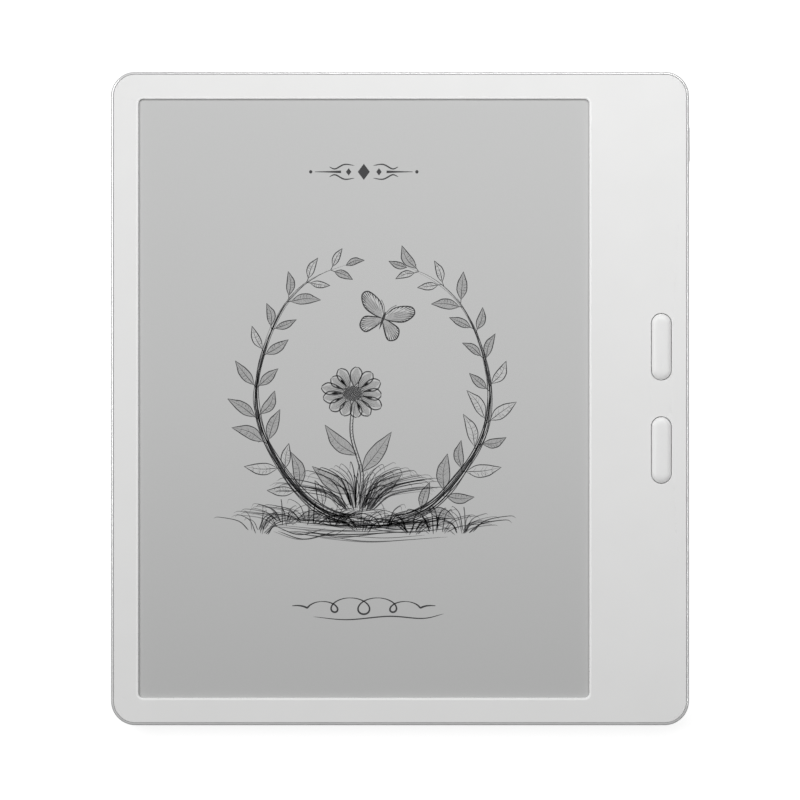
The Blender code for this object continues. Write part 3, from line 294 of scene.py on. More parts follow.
def vary_gloss(shader, low, high, size, stretch=EVEN_GRAIN):
    set_inputs(shader, Roughness=spread_of(shader, noise(shader, size, 3.0, stretch), low, high))


def bump(shader, height, depth, below=None):
    """Raises the surface by a height times a depth, on top of an earlier bump."""
    node = add_node(shader, "Bump", Distance=depth, Height=height)
    if below is not None:
        set_inputs(node, Normal=below)
    set_inputs(shader, Normal=node.outputs["Normal"])
    return node.outputs["Normal"]


def moulded_plastic(name, colour, roughness, grain_depth):
    """Matt plastic with two sizes of mould grain, and a gloss that wanders a little."""
    material, shader = new_material(name, colour, roughness)
    mottle(shader, colour, 0.008, 9.0 * MM)
    vary_gloss(shader, roughness - 0.05, roughness + 0.05, 0.5 * MM)
    coarse = bump(shader, noise(shader, 0.28 * MM), grain_depth)
    bump(shader, noise(shader, 0.09 * MM), grain_depth / 3, coarse)
    return material


def polished_plastic(name, colour, roughness):
    """The same plastic, polished and lacquered so that it catches the light."""
    material = moulded_plastic(name, colour, roughness, 0.0005 * MM)
    shader = material.node_tree.nodes["Principled BSDF"]
    set_inputs(shader, Specular_IOR_Level=1.0, Coat_Weight=1.0, Coat_Roughness=0.16)
    return material


def paper_film(name, colour):
    """Anti-glare film over e-paper's faint grain of capsules, with painted shade that darkens it towards its
    foot.
    """
    material, shader = new_material(name, colour, 0.62)
    capsules = spread_of(shader, noise(shader, 0.16 * MM, 1.0))
    # Painted shade: a darker copy of the page's colour, blended in towards the page's foot
    painted_shade_foot_colour = tuple(value * PAINTED_FOOT_SHADE for value in colour)
    head = blend_colours(shader, capsules, *shades(colour, 0.02))
    foot = blend_colours(shader, capsules, *shades(painted_shade_foot_colour, 0.02))
    axes = add_node(shader, "SeparateXYZ", Vector=place_in_object(shader))
    height = add_node(shader, "MapRange", From_Min=FILM_LOW.y, From_Max=0.0, Value=axes.outputs["Y"])
    paint(shader, height.outputs["Result"], foot, head)
    vary_gloss(shader, 0.58, 0.68, 0.3 * MM)
    bump(shader, noise(shader, 0.12 * MM), 0.002 * MM)
    return material


def pigment(name, colour):
    """E-paper pigment, its tone a little uneven from capsule to capsule."""
    material, shader = new_material(name, colour, 0.62)
    mottle(shader, colour, 0.18, 0.25 * MM, 2.0)
    vary_gloss(shader, 0.58, 0.68, 0.3 * MM)
    return material


def metal(name, colour, roughness, grain_size, stretch, depth):
    """Metal whose grain follows how its noise is stretched."""
    material, shader = new_material(name, colour, roughness, 1.0)
    mottle(shader, colour, 0.05, 3.0 * MM)
    vary_gloss(shader, roughness - 0.07, roughness + 0.08, grain_size, stretch)
    bump(shader, noise(shader, grain_size, 3.0, stretch), depth)
    return material


def soft_rubber(name, colour, pore_size, depth):
    """Matt rubber or foam with fine pores, painted darker inside each pore as shade."""
    material, shader = new_material(name, colour, 0.9)
    cells = add_node(shader, "TexVoronoi", Scale=1 / pore_size, Vector=place_in_object(shader))
    # Painted shade: the colour darkens towards each cell's centre, where the bump sinks into a pore
    paint(shader, spread_of(shader, cells.outputs["Distance"]), *shades(colour, 0.35))
    vary_gloss(shader, 0.82, 0.97, 1.0 * MM)
    bump(shader, cells.outputs["Distance"], depth)
    return material


def circuit_board(name):
    """Solder resist over a web of copper tracks, darker between them."""
    material, shader = new_material(name, RESIST_GREEN, 0.35)
    tracks = add_node(shader, "TexVoronoi", Scale=1 / (1.4 * MM), Vector=place_in_object(shader))
    tracks.distance = "MANHATTAN"
    lines = add_node(shader, "Math", Value=tracks.outputs["Distance"])
    lines.operation = "PINGPONG"
    lines.inputs[1].default_value = 0.12
    raised = add_node(shader, "Math", Value=lines.outputs[0])
    raised.operation = "GREATER_THAN"
    raised.inputs[1].default_value = 0.06
    paint(shader, raised.outputs[0], RESIST_GREEN, TRACK_GREEN)
    vary_gloss(shader, 0.28, 0.42, 0.8 * MM)
    bump(shader, raised.outputs[0], 0.01 * MM)
    return material


def flat_cable(name):
    """Amber film over fine copper tracks that run along the cable."""
    material, shader = new_material(name, AMBER, 0.3)
    place = place_in_object(shader)
    tracks = add_node(shader, "TexWave", Scale=1 / (2.6 * MM), Distortion=0.0, Vector=place)
    tracks.bands_direction = "Y"
    paint(shader, tracks.outputs["Fac"], AMBER, TRACK_COPPER)
    vary_gloss(shader, 0.24, 0.4, 1.0 * MM)
    bump(shader, tracks.outputs["Fac"], 0.01 * MM)
    return material


def clear_guide(name):
    """Clear acrylic with the tiny dots that turn the front light down on to the page."""
    material, shader = new_material(name, ACRYLIC, 0.12)
    set_inputs(shader, Transmission_Weight=0.6)
    dots = add_node(shader, "TexVoronoi", Scale=1 / (0.4 * MM), Vector=place_in_object(shader))
    bump(shader, dots.outputs["Distance"], 0.004 * MM)
    vary_gloss(shader, 0.08, 0.16, 2.0 * MM)
    mottle(shader, ACRYLIC, 0.02, 6.0 * MM)
    return material


def fine_mesh(name):
    """Dark woven wire, dull and a little uneven."""
    material, shader = new_material(name, MESH_BLACK, 0.5)
    mottle(shader, MESH_BLACK, 0.3, 0.3 * MM)
    vary_gloss(shader, 0.4, 0.6, 0.2 * MM)
    bump(shader, noise(shader, 0.06 * MM), 0.004 * MM)
    return material


# Each slot of the record, and its finish
FINISHES = {
    "white_plastic": moulded_plastic("white_shell_plastic", WHITE, 0.42, 0.004 * MM),
    "key_plastic": moulded_plastic("white_key_plastic", WHITE, 0.46, 0.0015 * MM),
    "epaper_surface": paper_film("epaper_film", PAPER),
    "epaper_ink": pigment("epaper_pigment", (0.03, 0.03, 0.032)),
    "display_glass": moulded_plastic("display_backplane", (0.3, 0.31, 0.31), 0.3, 0.001 * MM),
    "clear_acrylic": clear_guide("light_guide_acrylic"),
    "black_foam": soft_rubber("black_foam", (0.02, 0.02, 0.021), 0.25 * MM, 0.05 * MM),
    "grey_pad": soft_rubber("grey_silicone", (0.3, 0.31, 0.33), 0.4 * MM, 0.01 * MM),
    "magnesium": metal("cast_magnesium", (0.5, 0.5, 0.51), 0.42, 0.3 * MM, EVEN_GRAIN, 0.01 * MM),
    "circuit_board": circuit_board("solder_resist"),
    "chip_black": moulded_plastic("chip_epoxy", (0.024, 0.024, 0.026), 0.45, 0.004 * MM),
    "flex_amber": flat_cable("polyimide_flex"),
    "foil": metal("aluminium_foil", NICKEL, 0.28, 4.0 * MM, (1.0, 0.4, 1.0), 0.04 * MM),
    "bright_steel": metal("nickel_steel", NICKEL, 0.24, 0.2 * MM, (0.1, 1.0, 1.0), 0.002 * MM),
    "dark_mesh": fine_mesh("woven_mesh"),
    "connector_tan": moulded_plastic("connector_nylon", (0.55, 0.48, 0.36), 0.5, 0.003 * MM),
}
# Painted highlight: a lighter copy of the white plastic for the window's bevel, wall and bead, so that the
# window's edge shows bright on every side
PAINTED_HIGHLIGHT_WHITE = moulded_plastic("white_plastic_painted_highlight", (0.8, 0.8, 0.797), 0.3, 0.001 * MM)
# Painted shade on the housing: a darker grey copy of its plastic for the back and walls, partly a guess at
# its tone and partly painted shade that makes its edge show as a dark outline
SHELL_PAINTED_SHADE_GREY = moulded_plastic("shell_plastic", (0.41, 0.41, 0.412), 0.48, 0.004 * MM)
# Painted highlight: a lighter, lacquered copy for the rim's crown, so that a bright band runs along the edge
# beside the lacquer's real gloss
SHELL_EDGE_PAINTED_HIGHLIGHT = polished_plastic("shell_edge_painted_highlight", (0.6, 0.6, 0.602), 0.22)
GOLD = metal("gold_contact", (0.83, 0.62, 0.28), 0.22, 0.1 * MM, (0.2, 1.0, 1.0), 0.001 * MM)
SOFT_INK = pigment("epaper_soft_grey", (0.17, 0.17, 0.172))
WASH_INK = pigment("epaper_wash_grey", (0.33, 0.331, 0.33))

# ---- mesh helpers


def outline(half_u, half_v, radius, steps):
    """Returns a rounded rectangle's points, anticlockwise from its right side."""
    radius = max(min(radius, half_u, half_v), TINY)
    points = []
    for quarter, (side_u, side_v) in enumerate(((1, 1), (-1, 1), (-1, -1), (1, -1))):
        centre_u = side_u * (half_u - radius)
        centre_v = side_v * (half_v - radius)
        for step in range(steps + 1):
            angle = (quarter + step / steps) * math.pi / 2
            points.append((centre_u + radius * math.cos(angle), centre_v + radius * math.sin(angle)))
    return points


def upright(u, v, level):
    """Places a shape on the face: u runs along X, v along Y and its level along Z."""
    return Vector((u, v, level))


def sideways(u, v, level):
    """Places a shape on the grip's edge: u runs along Y, v along Z and its level along X."""
    return Vector((level, u, v))


def rings_of(half, radius, profile, centre=(0.0, 0.0), place=upright, steps=CORNER_STEPS):
    """Returns one outline for each (grow, level) pair of a profile, grown that much and at that level."""
    half_u, half_v = half
    rings = []
    for grow, level in profile:
        points = outline(half_u + grow, half_v + grow, radius + grow, steps)
        rings.append([place(u + centre[0], v + centre[1], level) for u, v in points])
    return rings


def rise(start, end, steps=ROUND_STEPS):
    """Returns a quarter ellipse between two (grow, level) pairs that leaves along the level."""
    turns = [step / steps * math.pi / 2 for step in range(steps + 1)]
    return [
        (start[0] + (end[0] - start[0]) * (1 - math.cos(t)), start[1] + (end[1] - start[1]) * math.sin(t))
        for t in turns
    ]


def run(start, end, steps=ROUND_STEPS):
    """Returns a quarter ellipse between two (grow, level) pairs that leaves across the level."""
    return rise(end, start, steps)[::-1]


def sloped(end, width, first_tilt, last_tilt, steps):
    """Returns (grow, level) pairs that climb inwards to an end, their tilt easing from first to last."""
    pairs = [end]
    for step in range(steps):
        tilt = last_tilt + (first_tilt - last_tilt) * (step + 0.5) / steps
        grow, level = pairs[0]
        pairs.insert(0, (grow + width / steps, level - math.tan(tilt) * width / steps))
    return pairs


def add_walls(bm, rings, finish=0, closed=False):
    """Adds the quads between rings, and returns each ring's vertices."""
    loops = [[bm.verts.new(point) for point in ring] for ring in rings]
    pairs = list(zip(loops, loops[1:]))
    if closed:
        pairs.append((loops[-1], loops[0]))
    for lower, upper in pairs:
        for a, b, c, d in zip(lower, lower[1:] + lower[:1], upper[1:] + upper[:1], upper):
            bm.faces.new((a, b, c, d)).material_index = finish
    return loops


def add_solid(bm, rings):
    """Adds a closed solid through the rings, with flat ends."""
    loops = add_walls(bm, rings)
    bm.faces.new(loops[0][::-1])
    bm.faces.new(loops[-1])


def fill(bm, *loops):
    """Fills the flat face between an outer loop and the holes in it."""
    edges = []
    for loop in loops:
        edges += [bm.edges.get(pair) for pair in zip(loop, loop[1:] + loop[:1])]
    bmesh.ops.triangle_fill(bm, use_beauty=True, edges=edges)


def add_box(bm, low, high, radius, ease):
    """Adds a block with rounded upright corners and eased top and bottom edges."""
    low = Vector(low)
    high = Vector(high)
    half = (high - low) / 2
    centre = (low + high) / 2
    profile = run((-ease, low.z), (0.0, low.z + ease), 3) + rise((0.0, high.z - ease), (-ease, high.z), 3)
    add_solid(bm, rings_of(half.xy, radius, profile, centre.xy, steps=4))


def closed_mesh(name, bm):
    """Joins what touches, turns the faces outwards and returns the mesh."""
    bmesh.ops.remove_doubles(bm, verts=bm.verts, dist=TINY)
    bmesh.ops.recalc_face_normals(bm, faces=bm.faces)
    mesh = bpy.data.meshes.new(name)
    bm.to_mesh(mesh)
    bm.free()
    return mesh


def new_piece(name, bm, body, slot, replaced=None, materials=()):
    """Makes a named piece that rides on a body, in the finish of its slot unless others are given."""
    mesh = closed_mesh(name, bm)
    for material in materials or (FINISHES[slot],):
        mesh.materials.append(material)
    mesh.shade_smooth()
    mesh.set_sharp_from_angle(angle=SMOOTH_ANGLE)
    piece = show(bpy.data.objects.new(name, mesh))
    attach(piece, body)
    if replaced:
        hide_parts(replaced)
    return piece


def combine(piece, operation, bm):
    """Cuts a closed shape from a piece or joins it on, for good."""
    mesh = closed_mesh("tool", bm)
    tool = show(bpy.data.objects.new("tool", mesh))
    modifier = piece.modifiers.new("shape", "BOOLEAN")
    modifier.operation = operation
    modifier.solver = "EXACT"
    modifier.object = tool
    made = bpy.data.meshes.new_from_object(piece.evaluated_get(bpy.context.evaluated_depsgraph_get()))
    piece.modifiers.clear()
    old = piece.data
    piece.data = made
    bpy.data.meshes.remove(old)
    made.name = piece.name
    made.shade_smooth()
    made.set_sharp_from_angle(angle=SMOOTH_ANGLE)
    bpy.data.objects.remove(tool)
    bpy.data.meshes.remove(mesh)


def even_normals(piece):
    """Weights the normals by face area, so that flat faces shade flat beside small roundings."""
    modifier = piece.modifiers.new("normals", "WEIGHTED_NORMAL")
    modifier.keep_sharp = True


# ---- rear housing


def edge_cutter(bm, y, half, radius, steps=CORNER_STEPS):
    """Adds a bar that opens the grip's side wall, its mouth flared to ease the edge."""
    inside = HALF_X - 2 * WALL
    profile = [
        (0.0, inside),
        (0.0, HALF_X - MOUTH_EASE),
        (MOUTH_EASE / 3, HALF_X - MOUTH_EASE / 3),
        (MOUTH_EASE, HALF_X),
        (2 * MOUTH_EASE, HALF_X + MOUTH_EASE / 2),
    ]
    add_solid(bm, rings_of(half, radius, profile, (y, PORT_Z), sideways, steps))


def cut_edge(shell):
    """Opens the side wall for the key, the ports and the holes on the grip's edge."""
    bm = bmesh.new()
    slots = (
        ("power_button", POWER_FLANGE_LIP, POWER_FLANGE_STEP, FIT),
        ("usb_shell", 0.0, 0.0, USB_CLEARANCE),
        ("card_tray", 0.0, 0.0, FIT),
    )
    for name, lip, step, gap in slots:
        size = half_size(name)
        half = (size.y - lip + gap, size.z - step + gap)
        edge_cutter(bm, middle(name).y, half, half[1])
    first = middle("speaker").y - (SPEAKER_HOLES - 1) / 2 * SPEAKER_HOLE_PITCH
    holes = [(first + index * SPEAKER_HOLE_PITCH, SPEAKER_HOLE_RADIUS) for index in range(SPEAKER_HOLES)]
    holes.append((middle("microphone").y, SMALL_HOLE_RADIUS))
    holes.append((middle("card_tray").y + PIN_HOLE_OFFSET, SMALL_HOLE_RADIUS))
    for y, radius in holes:
        edge_cutter(bm, y, (radius, radius), radius, HOLE_STEPS)
    combine(shell, "DIFFERENCE", bm)


def add_post(bm, place, radius, low, high):
    profile = [(0.0, low), (0.0, high)]
    add_solid(bm, rings_of((radius, radius), radius, profile, place.xy, steps=HOLE_STEPS))


def rim_profile():
    """The rim from the side wall up: a tight round, then a crowned slope that ends flat."""
    rim_top = (-(RIM_OUTER_WIDTH + RIM_SLOPE_WIDTH + RIM_INNER_WIDTH), FACE_Z)
    inner = sloped(rim_top, RIM_INNER_WIDTH, RIM_SHALLOW, 0.0, 4)
    slope = sloped(inner[0], RIM_SLOPE_WIDTH, RIM_STEEP, RIM_SHALLOW, 8)
    foot = slope[0]
    return rise((0.0, foot[1] - RIM_OUTER_HEIGHT), foot, 6), slope + inner[1:]


def make_rear_housing():
    """The tray: the back, the sides and the thin rim, with screw bosses and openings in the edge."""
    inner = -(RIM_WIDTH - PARTING_GAP / 2)
    profile = run((-BACK_ROUND, 0.0), (0.0, BACK_ROUND), 14)
    steep, crown = rim_profile()
    groove = run((inner + PARTING_ROUND, FACE_Z), (inner, FACE_Z - PARTING_ROUND), 4)
    ledge_z = FACE_Z - LEDGE_DEPTH
    seat = [(inner, ledge_z), (-WALL, ledge_z)]
    cavity = rise((-WALL, FLOOR + WALL), (-2 * WALL, FLOOR), 6)
    bm = bmesh.new()
    half = (HALF_X, HALF_Y)
    # The crown takes the lighter copy, a painted highlight; the back, walls and inside take the darker one,
    # painted shade
    back = add_walls(bm, rings_of(half, CORNER_RADIUS, profile + steep))
    bm.faces.new(back[0][::-1])
    add_walls(bm, rings_of(half, CORNER_RADIUS, crown), finish=1)
    inside = add_walls(bm, rings_of(half, CORNER_RADIUS, crown[-1:] + groove + seat + cavity))
    bm.faces.new(inside[-1])
    finishes = (SHELL_PAINTED_SHADE_GREY, SHELL_EDGE_PAINTED_HIGHLIGHT)
    shell = new_piece("rear_housing", bm, "housing", "white_plastic", "rear_shell", finishes)
    screws = [name for name in sorted(frame["nodes"]) if "_screw_" in name]
    boss_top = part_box("display_carrier")[0].z - FIT / 2
    bosses = bmesh.new()
    bores = bmesh.new()
    for name in screws:
        if name.startswith("carrier_screw"):
            add_post(bosses, middle(name), BOSS_RADIUS, FLOOR - FIT, boss_top)
        add_post(bores, middle(name), BORE_RADIUS, BORE_FLOOR, boss_top + FIT)
    combine(shell, "UNION", bosses)
    combine(shell, "DIFFERENCE", bores)
    cut_edge(shell)
    even_normals(shell)


# ---- front plate


def window_profile():
    """The window's edge: a shallow bevel, a steep wall and a bead that hides the gap over the film."""
    slope = WINDOW_BEVEL_DEPTH / (WINDOW_BEVEL_WIDTH - WINDOW_SET_BACK)
    ease = WINDOW_EASE
    foot = FACE_Z - WINDOW_BEVEL_DEPTH
    return [
        (WINDOW_BEVEL_WIDTH + ease, FACE_Z),
        (WINDOW_BEVEL_WIDTH, FACE_Z - ease * slope / 4),
        (WINDOW_BEVEL_WIDTH - ease, FACE_Z - ease * slope),
        (WINDOW_SET_BACK + ease / 2, foot + ease * slope / 2),
        (WINDOW_SET_BACK, foot - ease / 4),
        (WINDOW_SET_BACK - ease / 3, foot - ease),
        (0.0, PAPER_Z + WINDOW_BEAD_GAP),
        (WINDOW_BEAD_WIDTH, PAPER_Z + WINDOW_BEAD_GAP),
        (WINDOW_BEAD_WIDTH, FACE_Z - LIP_THICKNESS),
    ]


def make_front_plate():
    """The bezel: a plate with the window, the display's relief below it and two key slots."""
    bottom = FACE_Z - PLATE_THICKNESS
    inset = RIM_WIDTH + PARTING_GAP / 2
    half = (HALF_X - inset, HALF_Y - inset)
    bm = bmesh.new()
    edge = rise((0.0, FACE_Z - PARTING_ROUND), (-PARTING_ROUND, FACE_Z), 4)
    outer = add_walls(bm, rings_of(half, CORNER_RADIUS - inset, [(0.0, bottom)] + edge))

    profile = window_profile()[::-1]
    window = add_walls(bm, rings_of(WINDOW_HALF, WINDOW_RADIUS, profile, WINDOW_CENTRE), finish=1)

    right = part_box("main_board")[0].x + FIT
    left = FILM_LOW.x - FIT
    half = ((right - left) / 2, FILM_HIGH.y + FIT)
    levels = [(0.0, bottom), (0.0, FACE_Z - LIP_THICKNESS)]
    relief = add_walls(bm, rings_of(half, WINDOW_RADIUS, levels, ((right + left) / 2, 0.0), steps=4))

    face_loops = [outer[-1], window[-1]]
    under_loops = [outer[0], relief[0]]
    for name in ("page_button_lower", "page_button_upper"):
        place = middle(name)
        size = half_size(name)
        slot = (size.x - KEY_FLANGE_LIP + FIT, size.y - KEY_FLANGE_LIP + FIT)
        levels = [(0.0, bottom)] + rise((0.0, FACE_Z - KEY_SLOT_ROUND), (KEY_SLOT_ROUND, FACE_Z), 4)
        loops = add_walls(bm, rings_of(slot, slot[0] * ALMOST_ROUND, levels, place.xy))
        face_loops.append(loops[-1])
        under_loops.append(loops[0])
    fill(bm, *face_loops)
    fill(bm, *under_loops)
    fill(bm, relief[-1], window[0])
    # The window's edge takes the lighter copy, a painted highlight
    finishes = (FINISHES["white_plastic"], PAINTED_HIGHLIGHT_WHITE)
    plate = new_piece("front_plate", bm, "housing", "white_plastic", "front_bezel", finishes)
    even_normals(plate)


# ---- keys


def make_page_key(node):
    """A domed key cap on its flange, with the nub that meets the dome switch."""
    low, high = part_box(node)
    place = middle(node)
    size = half_size(node)
    grow = KEY_FLANGE_LIP - FIT + KEY_GAP
    half = (size.x - grow, size.y - grow)
    flange_low = low.z + KEY_NUB_LENGTH
    flange_high = flange_low + KEY_FLANGE_THICKNESS
    dome_base = FACE_Z - KEY_DOME_BASE
    flange = [(grow, flange_low), (grow, flange_high), (0.0, flange_high), (0.0, dome_base)]
    dome = []
    for step in range(1, KEY_DOME_STEPS):
        share = step / KEY_DOME_STEPS
        height = (high.z - dome_base) * (1 - (1 - share) ** KEY_DOME_POWER)
        dome.append((-half[0] * share, dome_base + height))
    dome.append((-half[0] * KEY_TOP_SHARE, high.z))
    bm = bmesh.new()
    add_solid(bm, rings_of(half, half[0] * ALMOST_ROUND, flange + dome, place.xy, steps=20))
    add_post(bm, place, KEY_NUB_RADIUS, low.z, flange_low + FIT)
    piece = new_piece(node.replace("button", "key_cap"), bm, node, "key_plastic", node)
    even_normals(piece)


def make_power_key():
    """The power key: a round-ended bar on its flange, proud of the grip's edge."""
    low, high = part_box("power_button")
    place = (low + high) / 2
    size = (high - low) / 2
    half = (size.y - POWER_FLANGE_LIP + EDGE_GAP, size.z - POWER_FLANGE_STEP + EDGE_GAP)
    flange_end = low.x + POWER_FLANGE_THICKNESS
    profile = [(0.0, flange_end - FIT)] + rise((0.0, high.x - POWER_DOME), (-POWER_DOME, high.x))
    bm = bmesh.new()
    add_solid(bm, rings_of(half, half[1] * ALMOST_ROUND, profile, place.yz, sideways))
    piece = new_piece("power_key_cap", bm, "power_button", "key_plastic", "power_button")
    bm = bmesh.new()
    flange = [(0.0, low.x), (0.0, flange_end)]
    add_solid(bm, rings_of((size.y, size.z), FIT, flange, place.yz, sideways, 4))
    combine(piece, "UNION", bm)
    even_normals(piece)


# ---- ports


def make_card_drawer():
    """The card tray: a round-ended face flush with the edge, and a body with the card's pocket."""
    low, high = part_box("card_tray")
    place = middle("card_tray")
    size = half_size("card_tray")
    half = (size.y + EDGE_GAP, size.z + EDGE_GAP)
    ease = MOUTH_EASE
    back = high.x - TRAY_FACE_THICKNESS
    profile = run((-ease, back), (0.0, back + ease), 3)
    profile += rise((0.0, high.x - ease), (-ease, high.x), 5)
    bm = bmesh.new()
    add_solid(bm, rings_of(half, half[1] * ALMOST_ROUND, profile, place.yz, sideways))
    drawer = new_piece("card_drawer", bm, "card_tray", "white_plastic", "card_tray")

    bm = bmesh.new()
    body_high = back + FIT
    body_half = ((body_high - low.x) / 2, TRAY_WIDTH / 2)
    body_centre = ((body_high + low.x) / 2, place.y)
    bottom = place.z - TRAY_BODY_HALF
    top = place.z + TRAY_BODY_HALF
    levels = [(0.0, bottom), (0.0, top - ease), (-ease, top)]
    outer = add_walls(bm, rings_of(body_half, TRAY_BODY_ROUND, levels, body_centre, steps=6))
    pocket_half = (CARD_LENGTH / 2, CARD_WIDTH / 2)
    pocket_centre = (low.x + CARD_POCKET_MARGIN + CARD_LENGTH / 2, place.y)
    levels = [(0.0, top - CARD_POCKET_DEPTH), (0.0, top)]
    pocket = add_walls(bm, rings_of(pocket_half, CARD_POCKET_ROUND, levels, pocket_centre, steps=6))
    bm.faces.new(outer[0][::-1])
    bm.faces.new(pocket[0])
    fill(bm, outer[-1], pocket[-1])
    combine(drawer, "UNION", bm)
    even_normals(drawer)


def make_usb_port():
    """The USB-C receptacle: a drawn steel shell, its insulator and two rows of gold contacts."""
    low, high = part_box("usb_shell")
    place = middle("usb_shell")
    size = half_size("usb_shell")
    centre = place.yz
    ease = USB_EASE
    profile = [(0.0, low.x)] + rise((0.0, high.x - ease), (-ease, high.x), 4)
    profile += run((-USB_WALL + ease / 2, high.x), (-USB_WALL, high.x - ease / 2), 3)
    profile.append((-USB_WALL, low.x))
    bm = bmesh.new()
    rings = rings_of((size.y, size.z), size.z * ALMOST_ROUND, profile, centre, sideways)
    add_walls(bm, rings, closed=True)
    sleeve = new_piece("usb_sleeve", bm, "housing", "bright_steel", "usb_shell")
    even_normals(sleeve)

    low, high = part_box("usb_tongue")
    size = half_size("usb_tongue")
    base_front = low.x + USB_BASE_DEPTH
    bm = bmesh.new()
    base = [(0.0, low.x), (0.0, base_front)]
    add_solid(bm, rings_of((size.y, size.z), size.z * ALMOST_ROUND, base, centre, sideways))
    insulator = new_piece("usb_insulator", bm, "housing", "chip_black", "usb_tongue")
    bm = bmesh.new()
    tongue = [(0.0, base_front - FIT)] + rise((0.0, high.x - 2 * ease), (-2 * ease, high.x), 4)
    add_solid(bm, rings_of(USB_BLADE_HALF, USB_BLADE_ROUND, tongue, centre, sideways, 4))
    combine(insulator, "UNION", bm)
    even_normals(insulator)

    start = base_front + CONTACT_START
    bm = bmesh.new()
    for side in (-1, 1):
        inner = place.z + side * (USB_BLADE_HALF[1] - CONTACT_PROUD)
        outer = place.z + side * (USB_BLADE_HALF[1] + CONTACT_PROUD)
        bottom, top = sorted((inner, outer))
        for index in range(CONTACTS):
            y = place.y + (index - (CONTACTS - 1) / 2) * CONTACT_PITCH
            length = LONG_CONTACT_LENGTH if index in LONG_CONTACTS else CONTACT_LENGTH
            near = (start, y - CONTACT_WIDTH / 2, bottom)
            far = (start + length, y + CONTACT_WIDTH / 2, top)
            add_box(bm, near, far, CONTACT_ROUND, CONTACT_PROUD / 3)
    new_piece("usb_contacts", bm, "housing", "bright_steel", materials=(GOLD,))


def add_wire(bm, points, half):
    """Adds a closed square wire through points on the mesh's plane."""
    rings = []
    for index, point in enumerate(points):
        ahead = points[min(index + 1, len(points) - 1)] - points[max(index - 1, 0)]
        side = Vector((1.0, 0.0, 0.0)).cross(ahead).normalized() * half
        out = Vector((half, 0.0, 0.0))
        rings.append((point + side + out, point - side + out, point - side - out, point + side - out))
    add_solid(bm, rings)


def make_speaker_mesh():
    """The acoustic mesh behind the speaker's holes: wires woven over and under each other."""
    low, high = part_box("speaker_mesh")
    place = middle("speaker_mesh")
    half = WIRE_HALF
    along = int((high.y - low.y) / MESH_PITCH)
    across = int((high.z - low.z) / MESH_PITCH)
    bm = bmesh.new()
    for row in range(across + 1):
        z = low.z + half + (high.z - low.z - 2 * half) * row / across
        wave = [place.x + WIRE_SWAY * (-1) ** (row + column) for column in range(along + 1)]
        step = (high.y - low.y) / along
        add_wire(bm, [Vector((x, low.y + column * step, z)) for column, x in enumerate(wave)], half)
    for column in range(along + 1):
        y = low.y + half + (high.y - low.y - 2 * half) * column / along
        wave = [place.x - WIRE_SWAY * (-1) ** (row + column) for row in range(across + 1)]
        step = (high.z - low.z) / across
        add_wire(bm, [Vector((x, y, low.z + row * step)) for row, x in enumerate(wave)], half)
    new_piece("speaker_weave", bm, "housing", "dark_mesh", "speaker_mesh")


# ---- page on the screen

# The page is drawn in millimetres about the window's centre. Each sheet is one layer of ink.
SHEETS = [bmesh.new() for _ in range(3)]
RNG = random.Random(7)


def smooth(knots, steps=6):
    """Returns points along a smooth curve through the knots."""
    knots = [Vector(knot) for knot in knots]
    ends = [knots[0] * 2 - knots[1], *knots, knots[-1] * 2 - knots[-2]]
    points = []
    for a, b, c, d in zip(ends, ends[1:], ends[2:], ends[3:]):
        for step in range(steps):
            t = step / steps
            curve = 2 * b + (c - a) * t + (2 * a - 5 * b + 4 * c - d) * t**2 + (3 * b - a - 3 * c + d) * t**3
            points.append(curve / 2)
    return [*points, knots[-1]]


def pen(t):
    """A pen line's pressure: light at both ends."""
    return math.sin(math.pi * min(max(t, 0.0), 1.0)) ** 0.45


def tail(t):
    """A flicked line's pressure: firm at the start, then fading."""
    return (1 - t) ** 0.65 * min(1.0, t * 12 + 0.35)


def blade(t):
    """A leaf's or petal's width along its length."""
    return math.sin(math.pi * t**0.8) ** 0.8


def even(t):
    return 1.0


def stroke(layer, points, width, pressure=pen):
    """Adds one thin solid of ink along the points, whose width follows the pressure."""
    bottom = PAPER_Z + INK_LAYER * (layer + 0.25)
    top = PAPER_Z + INK_LAYER * (layer + 1)
    rings = []
    for index, point in enumerate(points):
        ahead = points[min(index + 1, len(points) - 1)] - points[max(index - 1, 0)]
        if ahead.length < TINY:
            ahead = Vector((1.0, 0.0))
        side = Vector((-ahead.y, ahead.x)).normalized()
        half = max(width * pressure(index / (len(points) - 1)), FINEST_LINE) / 2
        left = (point + side * half) * MM + WINDOW_CENTRE
        right = (point - side * half) * MM + WINDOW_CENTRE
        corners = ((left, bottom), (right, bottom), (right, top), (left, top))
        rings.append([(flat.x, flat.y, z) for flat, z in corners])
    add_solid(SHEETS[layer], rings)


def shaken(points, amount):
    """Moves each point a little at random, as an unsteady hand would."""
    return [point + Vector((RNG.gauss(0, amount), RNG.gauss(0, amount))) for point in points]


def sketch(knots, width, passes, shake):
    """Draws a line as a hand would: one firm stroke, and lighter ones that almost follow it."""
    knots = [Vector(knot) for knot in knots]
    stroke(DARK, smooth(shaken(knots, shake / 3)), width)
    for _ in range(passes - 1):
        path = smooth(shaken(knots, shake))
        stroke(SOFT, path, width * RNG.uniform(0.45, 0.75))


def turned(vector, angle):
    cos, sin = math.cos(angle), math.sin(angle)
    return Vector((vector.x * cos - vector.y * sin, vector.x * sin + vector.y * cos))


